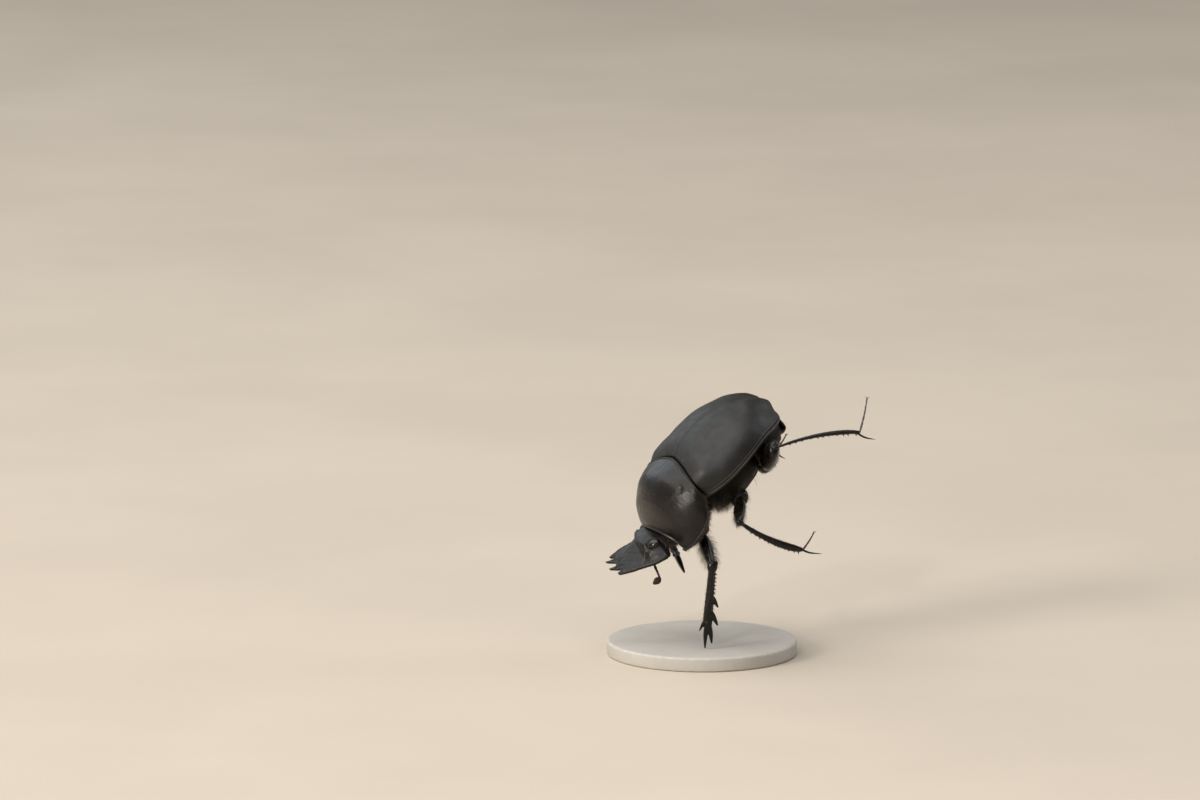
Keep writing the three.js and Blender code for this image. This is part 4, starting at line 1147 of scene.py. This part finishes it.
leg_grids = {}
for number, (name, leg) in enumerate(LEGS.items()):
    pair, side = name.split("_")
    size = LEG_SIZE[pair]
    hip, thigh = coxa(leg, size), femur(leg, size)
    for part, grid in (("coxa", hip), ("femur", thigh)):
        shell_piece(f"leg_{part}_{name}", unworn(grid), stance, leg_skin, [f"{part}_{name}"])
    shin, shaft = digging_tibia(leg, size) if pair == "fore" else slender_tibia(leg, size, 50 + number)
    shin = fused(shin, stance, voxel=0.05, rounds=2)
    piece(f"leg_tibia_{name}", shin, leg_skin, [f"tibia_{name}"])
    if "tarsus" in leg:
        foot = fused(tarsus(leg), stance, voxel=0.03, rounds=1)
        piece(f"leg_tarsus_{name}", foot, tarsus_skin, [f"tarsus_{name}"])
    leg_grids[name] = (hip, thigh, shaft)

# ------------------------------------------------------------------ hairs on the beetle


fringe = Coat("setae_prothorax", 71)
for sign, columns in ((1, slice(0, 6)), (-1, slice(-6, None))):  # along each side margin
    band = pronotum_grid[:, columns] + np.array([0, 0, -0.2])
    outward = np.broadcast_to(np.array([sign * 0.55, -0.1, -0.8]), band.shape)
    way = (sign * 0.5, 0.2, -0.6)
    fringe.add(band, outward, 420, way, 0.6, wrap=False, lift=0.5, droop=0.1, radius=0.014)
below = smoothstep(-chest_out[..., 2], 0.1, 0.6) * smoothstep(np.abs(chest_grid[..., 0]), 0.5, 2.0)
fringe.add(chest_grid, chest_out, 1800, (0, 0.3, -0.8), 0.75, weight=below + 0.01, lift=0.45)
fringe.build(trunk, seta_skin)

occiput = Coat("setae_head", 76)
behind = smoothstep(head_grid[..., 1], 0.1, 0.5) * smoothstep(np.abs(head_grid[..., 0]), 1.5, 2.5)
occiput.add(head_grid, grid_normals(head_grid), 900, (0, 0.2, -1), 0.7, weight=behind, lift=0.4)
occiput.build(neck, seta_skin)

breast = Coat("setae_thorax", 72)
sides = smoothstep(-thorax_out[..., 2], 0.2, 0.6) * smoothstep(-thorax_grid[..., 1], -3.5, 0.0)
breast.add(thorax_grid, thorax_out, 1300, (0, -0.8, -0.5), 1.25, weight=sides + 0.01, lift=0.55)
rest = smoothstep(-abdomen_out[..., 2], 0.1, 0.6)
breast.add(abdomen_grid, abdomen_out, 900, (0, 1, -0.3), 0.35, weight=rest, lift=0.3, radius=0.012)
breast.build(trunk, seta_skin)

LEG_HAIRS = {  # for each part of the leg, how many and how long
    "fore": dict(seed=73, coxa=(220, 0.9), femur=(420, 1.1), tibia=(220, 0.5)),
    "mid": dict(seed=74, coxa=(220, 0.7), femur=(360, 0.65), tibia=(160, 0.34)),
    "hind": dict(seed=75, coxa=(140, 0.5), femur=(240, 0.45), tibia=(160, 0.28)),
}
for pair, hairs in LEG_HAIRS.items():
    coat = Coat(f"setae_{pair}_legs", hairs["seed"])
    for side in ("left", "right"):
        leg = LEGS[f"{pair}_{side}"]
        hip, thigh, shaft = leg_grids[f"{pair}_{side}"]
        hip_out, thigh_out, shaft_out = (grid_normals(g) for g in (hip, thigh, shaft))
        reach = heading(leg, "coxa", "knee")
        edge = unit(np.cross(reach, leg.get("femur_flat", leg["flat"])))
        on_edges = np.abs(thigh_out @ edge) ** 4 + 0.03
        beneath = 0.1 + smoothstep(-thigh_out[..., 2], 0, 0.7)
        on_thigh = on_edges if pair == "fore" else beneath
        on_shin = np.abs(shaft_out @ unit(leg["flat"])) ** 4 + 0.02
        outward = reach + np.array([0, 0, -0.4])
        count, length = hairs["coxa"]
        coat.add(hip, hip_out, count, reach, length, lift=0.5)
        count, length = hairs["femur"]
        coat.add(thigh, thigh_out, count, outward, length, weight=on_thigh, lift=0.58)
        count, length = hairs["tibia"]
        down = heading(leg, "knee", "ankle")
        coat.add(shaft, shaft_out, count, down, length, weight=on_shin, lift=0.4, radius=0.012)
    coat.build(stance, seta_skin)

# ------------------------------------------------------------------ base


def base_disc():
    radius, height, bevel = (base_high[0] - base_low[0]) / 2, base_high[2] - base_low[2], 0.3
    corner = np.radians(np.linspace(0, 90, 7))
    low = [(radius - bevel + bevel * np.sin(a), bevel - bevel * np.cos(a)) for a in corner]
    high = [(radius - bevel + bevel * np.cos(a), height - bevel + bevel * np.sin(a)) for a in corner]
    rings = [(0, 0), (radius * 0.6, 0), *low, (radius, height / 2), *high]
    rings += [(r, height) for r in (radius * 0.93, radius * 0.8, radius * 0.6, radius * 0.3, 0)]
    angle = circle(160)
    points = np.array([[r * np.cos(angle), r * np.sin(angle), np.full_like(angle, z)] for r, z in rings])
    wear = np.array([1.0 if radius - bevel < r < radius else 0.0 for r, _ in rings])[:, None]
    return Shell().grid(points.transpose(0, 2, 1), wear=wear)


base_origin = np.array([base_middle[0], base_middle[1], base_low[2]])
shell_piece("stand_disc", base_disc(), lambda p: p + base_origin, base_material(), ["stand_base"])

# ------------------------------------------------------------------ floor, light and camera


def floor():
    n = Nodes("floor_paper")
    colour = n.blend(n.span(n.noise(60, 3), 0.3, 0.7), (0.505, 0.442, 0.366), (0.54, 0.473, 0.392))
    material = n.finish(colour, n.span(n.noise(20, 2), 0.3, 0.7, 0.82, 0.92), n.bump(n.noise(1.5, 4), 0.03))
    reach = 6.0  # metres
    mesh = bpy.data.meshes.new("floor")
    corners = [(-reach, -reach, 0), (reach, -reach, 0), (reach, reach, 0), (-reach, reach, 0)]
    mesh.from_pydata(corners, [], [(0, 1, 2, 3)])
    mesh.materials.append(material)
    obj = bpy.data.objects.new("floor", mesh)
    bpy.context.scene.collection.objects.link(obj)


def toward(azimuth, elevation):
    """Unit vector from the beetle towards a light or the camera. Azimuth 0 is on the side of its head."""
    a, e = np.radians(azimuth), np.radians(elevation)
    return np.array([np.sin(a) * np.cos(e), -np.cos(a) * np.cos(e), np.sin(e)])


def aimed(name, data, target, back, distance):
    """Puts a light or the camera in the scene, looking at the target. It works in millimetres."""
    obj = bpy.data.objects.new(name, data)
    obj.location = Vector((target + back * distance) * MM)
    obj.rotation_mode = "QUATERNION"
    obj.rotation_quaternion = Vector(-back).to_track_quat("-Z", "Y")
    bpy.context.scene.collection.objects.link(obj)
    return obj


# Square soft lights: azimuth, elevation, distance and size in mm, power, colour.
SOFTBOXES = {
    "key": (13, 20, 800, 240, 4.4, (1.0, 0.92, 0.82)),
    "top": (-18, 66, 800, 800, 5.2, (1.0, 0.97, 0.93)),
    "side": (78, 60, 800, 450, 1.3, (0.93, 0.96, 1.0)),
    "rear": (178, 36, 900, 600, 2.0, (0.95, 0.97, 1.0)),
    "back": (-78, 28, 800, 500, 1.0, (0.84, 0.93, 1.0)),
    "sparkle": (44, 28, 900, 50, 1.3, (1.0, 0.97, 0.93)),
}

floor()
for name, (azimuth, elevation, distance, size, power, colour) in SOFTBOXES.items():
    light = bpy.data.lights.new(name, "AREA")
    light.shape, light.size, light.energy, light.color = "SQUARE", size * MM, power, colour
    aimed(name, light, STANCE, toward(azimuth, elevation), distance)

world = bpy.data.worlds.new("studio")
world.use_nodes = True
backdrop = world.node_tree.nodes["Background"].inputs
backdrop["Color"].default_value = (0.93, 0.9, 0.86, 1)
backdrop["Strength"].default_value = 0.24
bpy.context.scene.world = world
bpy.context.scene.view_settings.view_transform = "Standard"

VIEW_AZIMUTH, VIEW_ELEVATION = 65.6, 10.0
FRAME_WIDTH = 150.0  # mm across the frame at the beetle
SENSOR = 36.0
DISTANCE = 1000.0
FROM_CENTRE = (-11.43, 10.05)  # mm from the trunk's reference point to the frame's middle, right and up


def camera():
    back = toward(VIEW_AZIMUTH, VIEW_ELEVATION)
    right = np.array([np.cos(np.radians(VIEW_AZIMUTH)), np.sin(np.radians(VIEW_AZIMUTH)), 0])
    aim = STANCE + right * FROM_CENTRE[0] + np.cross(back, right) * FROM_CENTRE[1]
    data = bpy.data.cameras.new("camera")
    data.sensor_width, data.lens = SENSOR, SENSOR * DISTANCE / FRAME_WIDTH
    data.clip_start, data.clip_end = 0.01, 20
    bpy.context.scene.camera = aimed("camera", data, aim, back, DISTANCE)


camera()
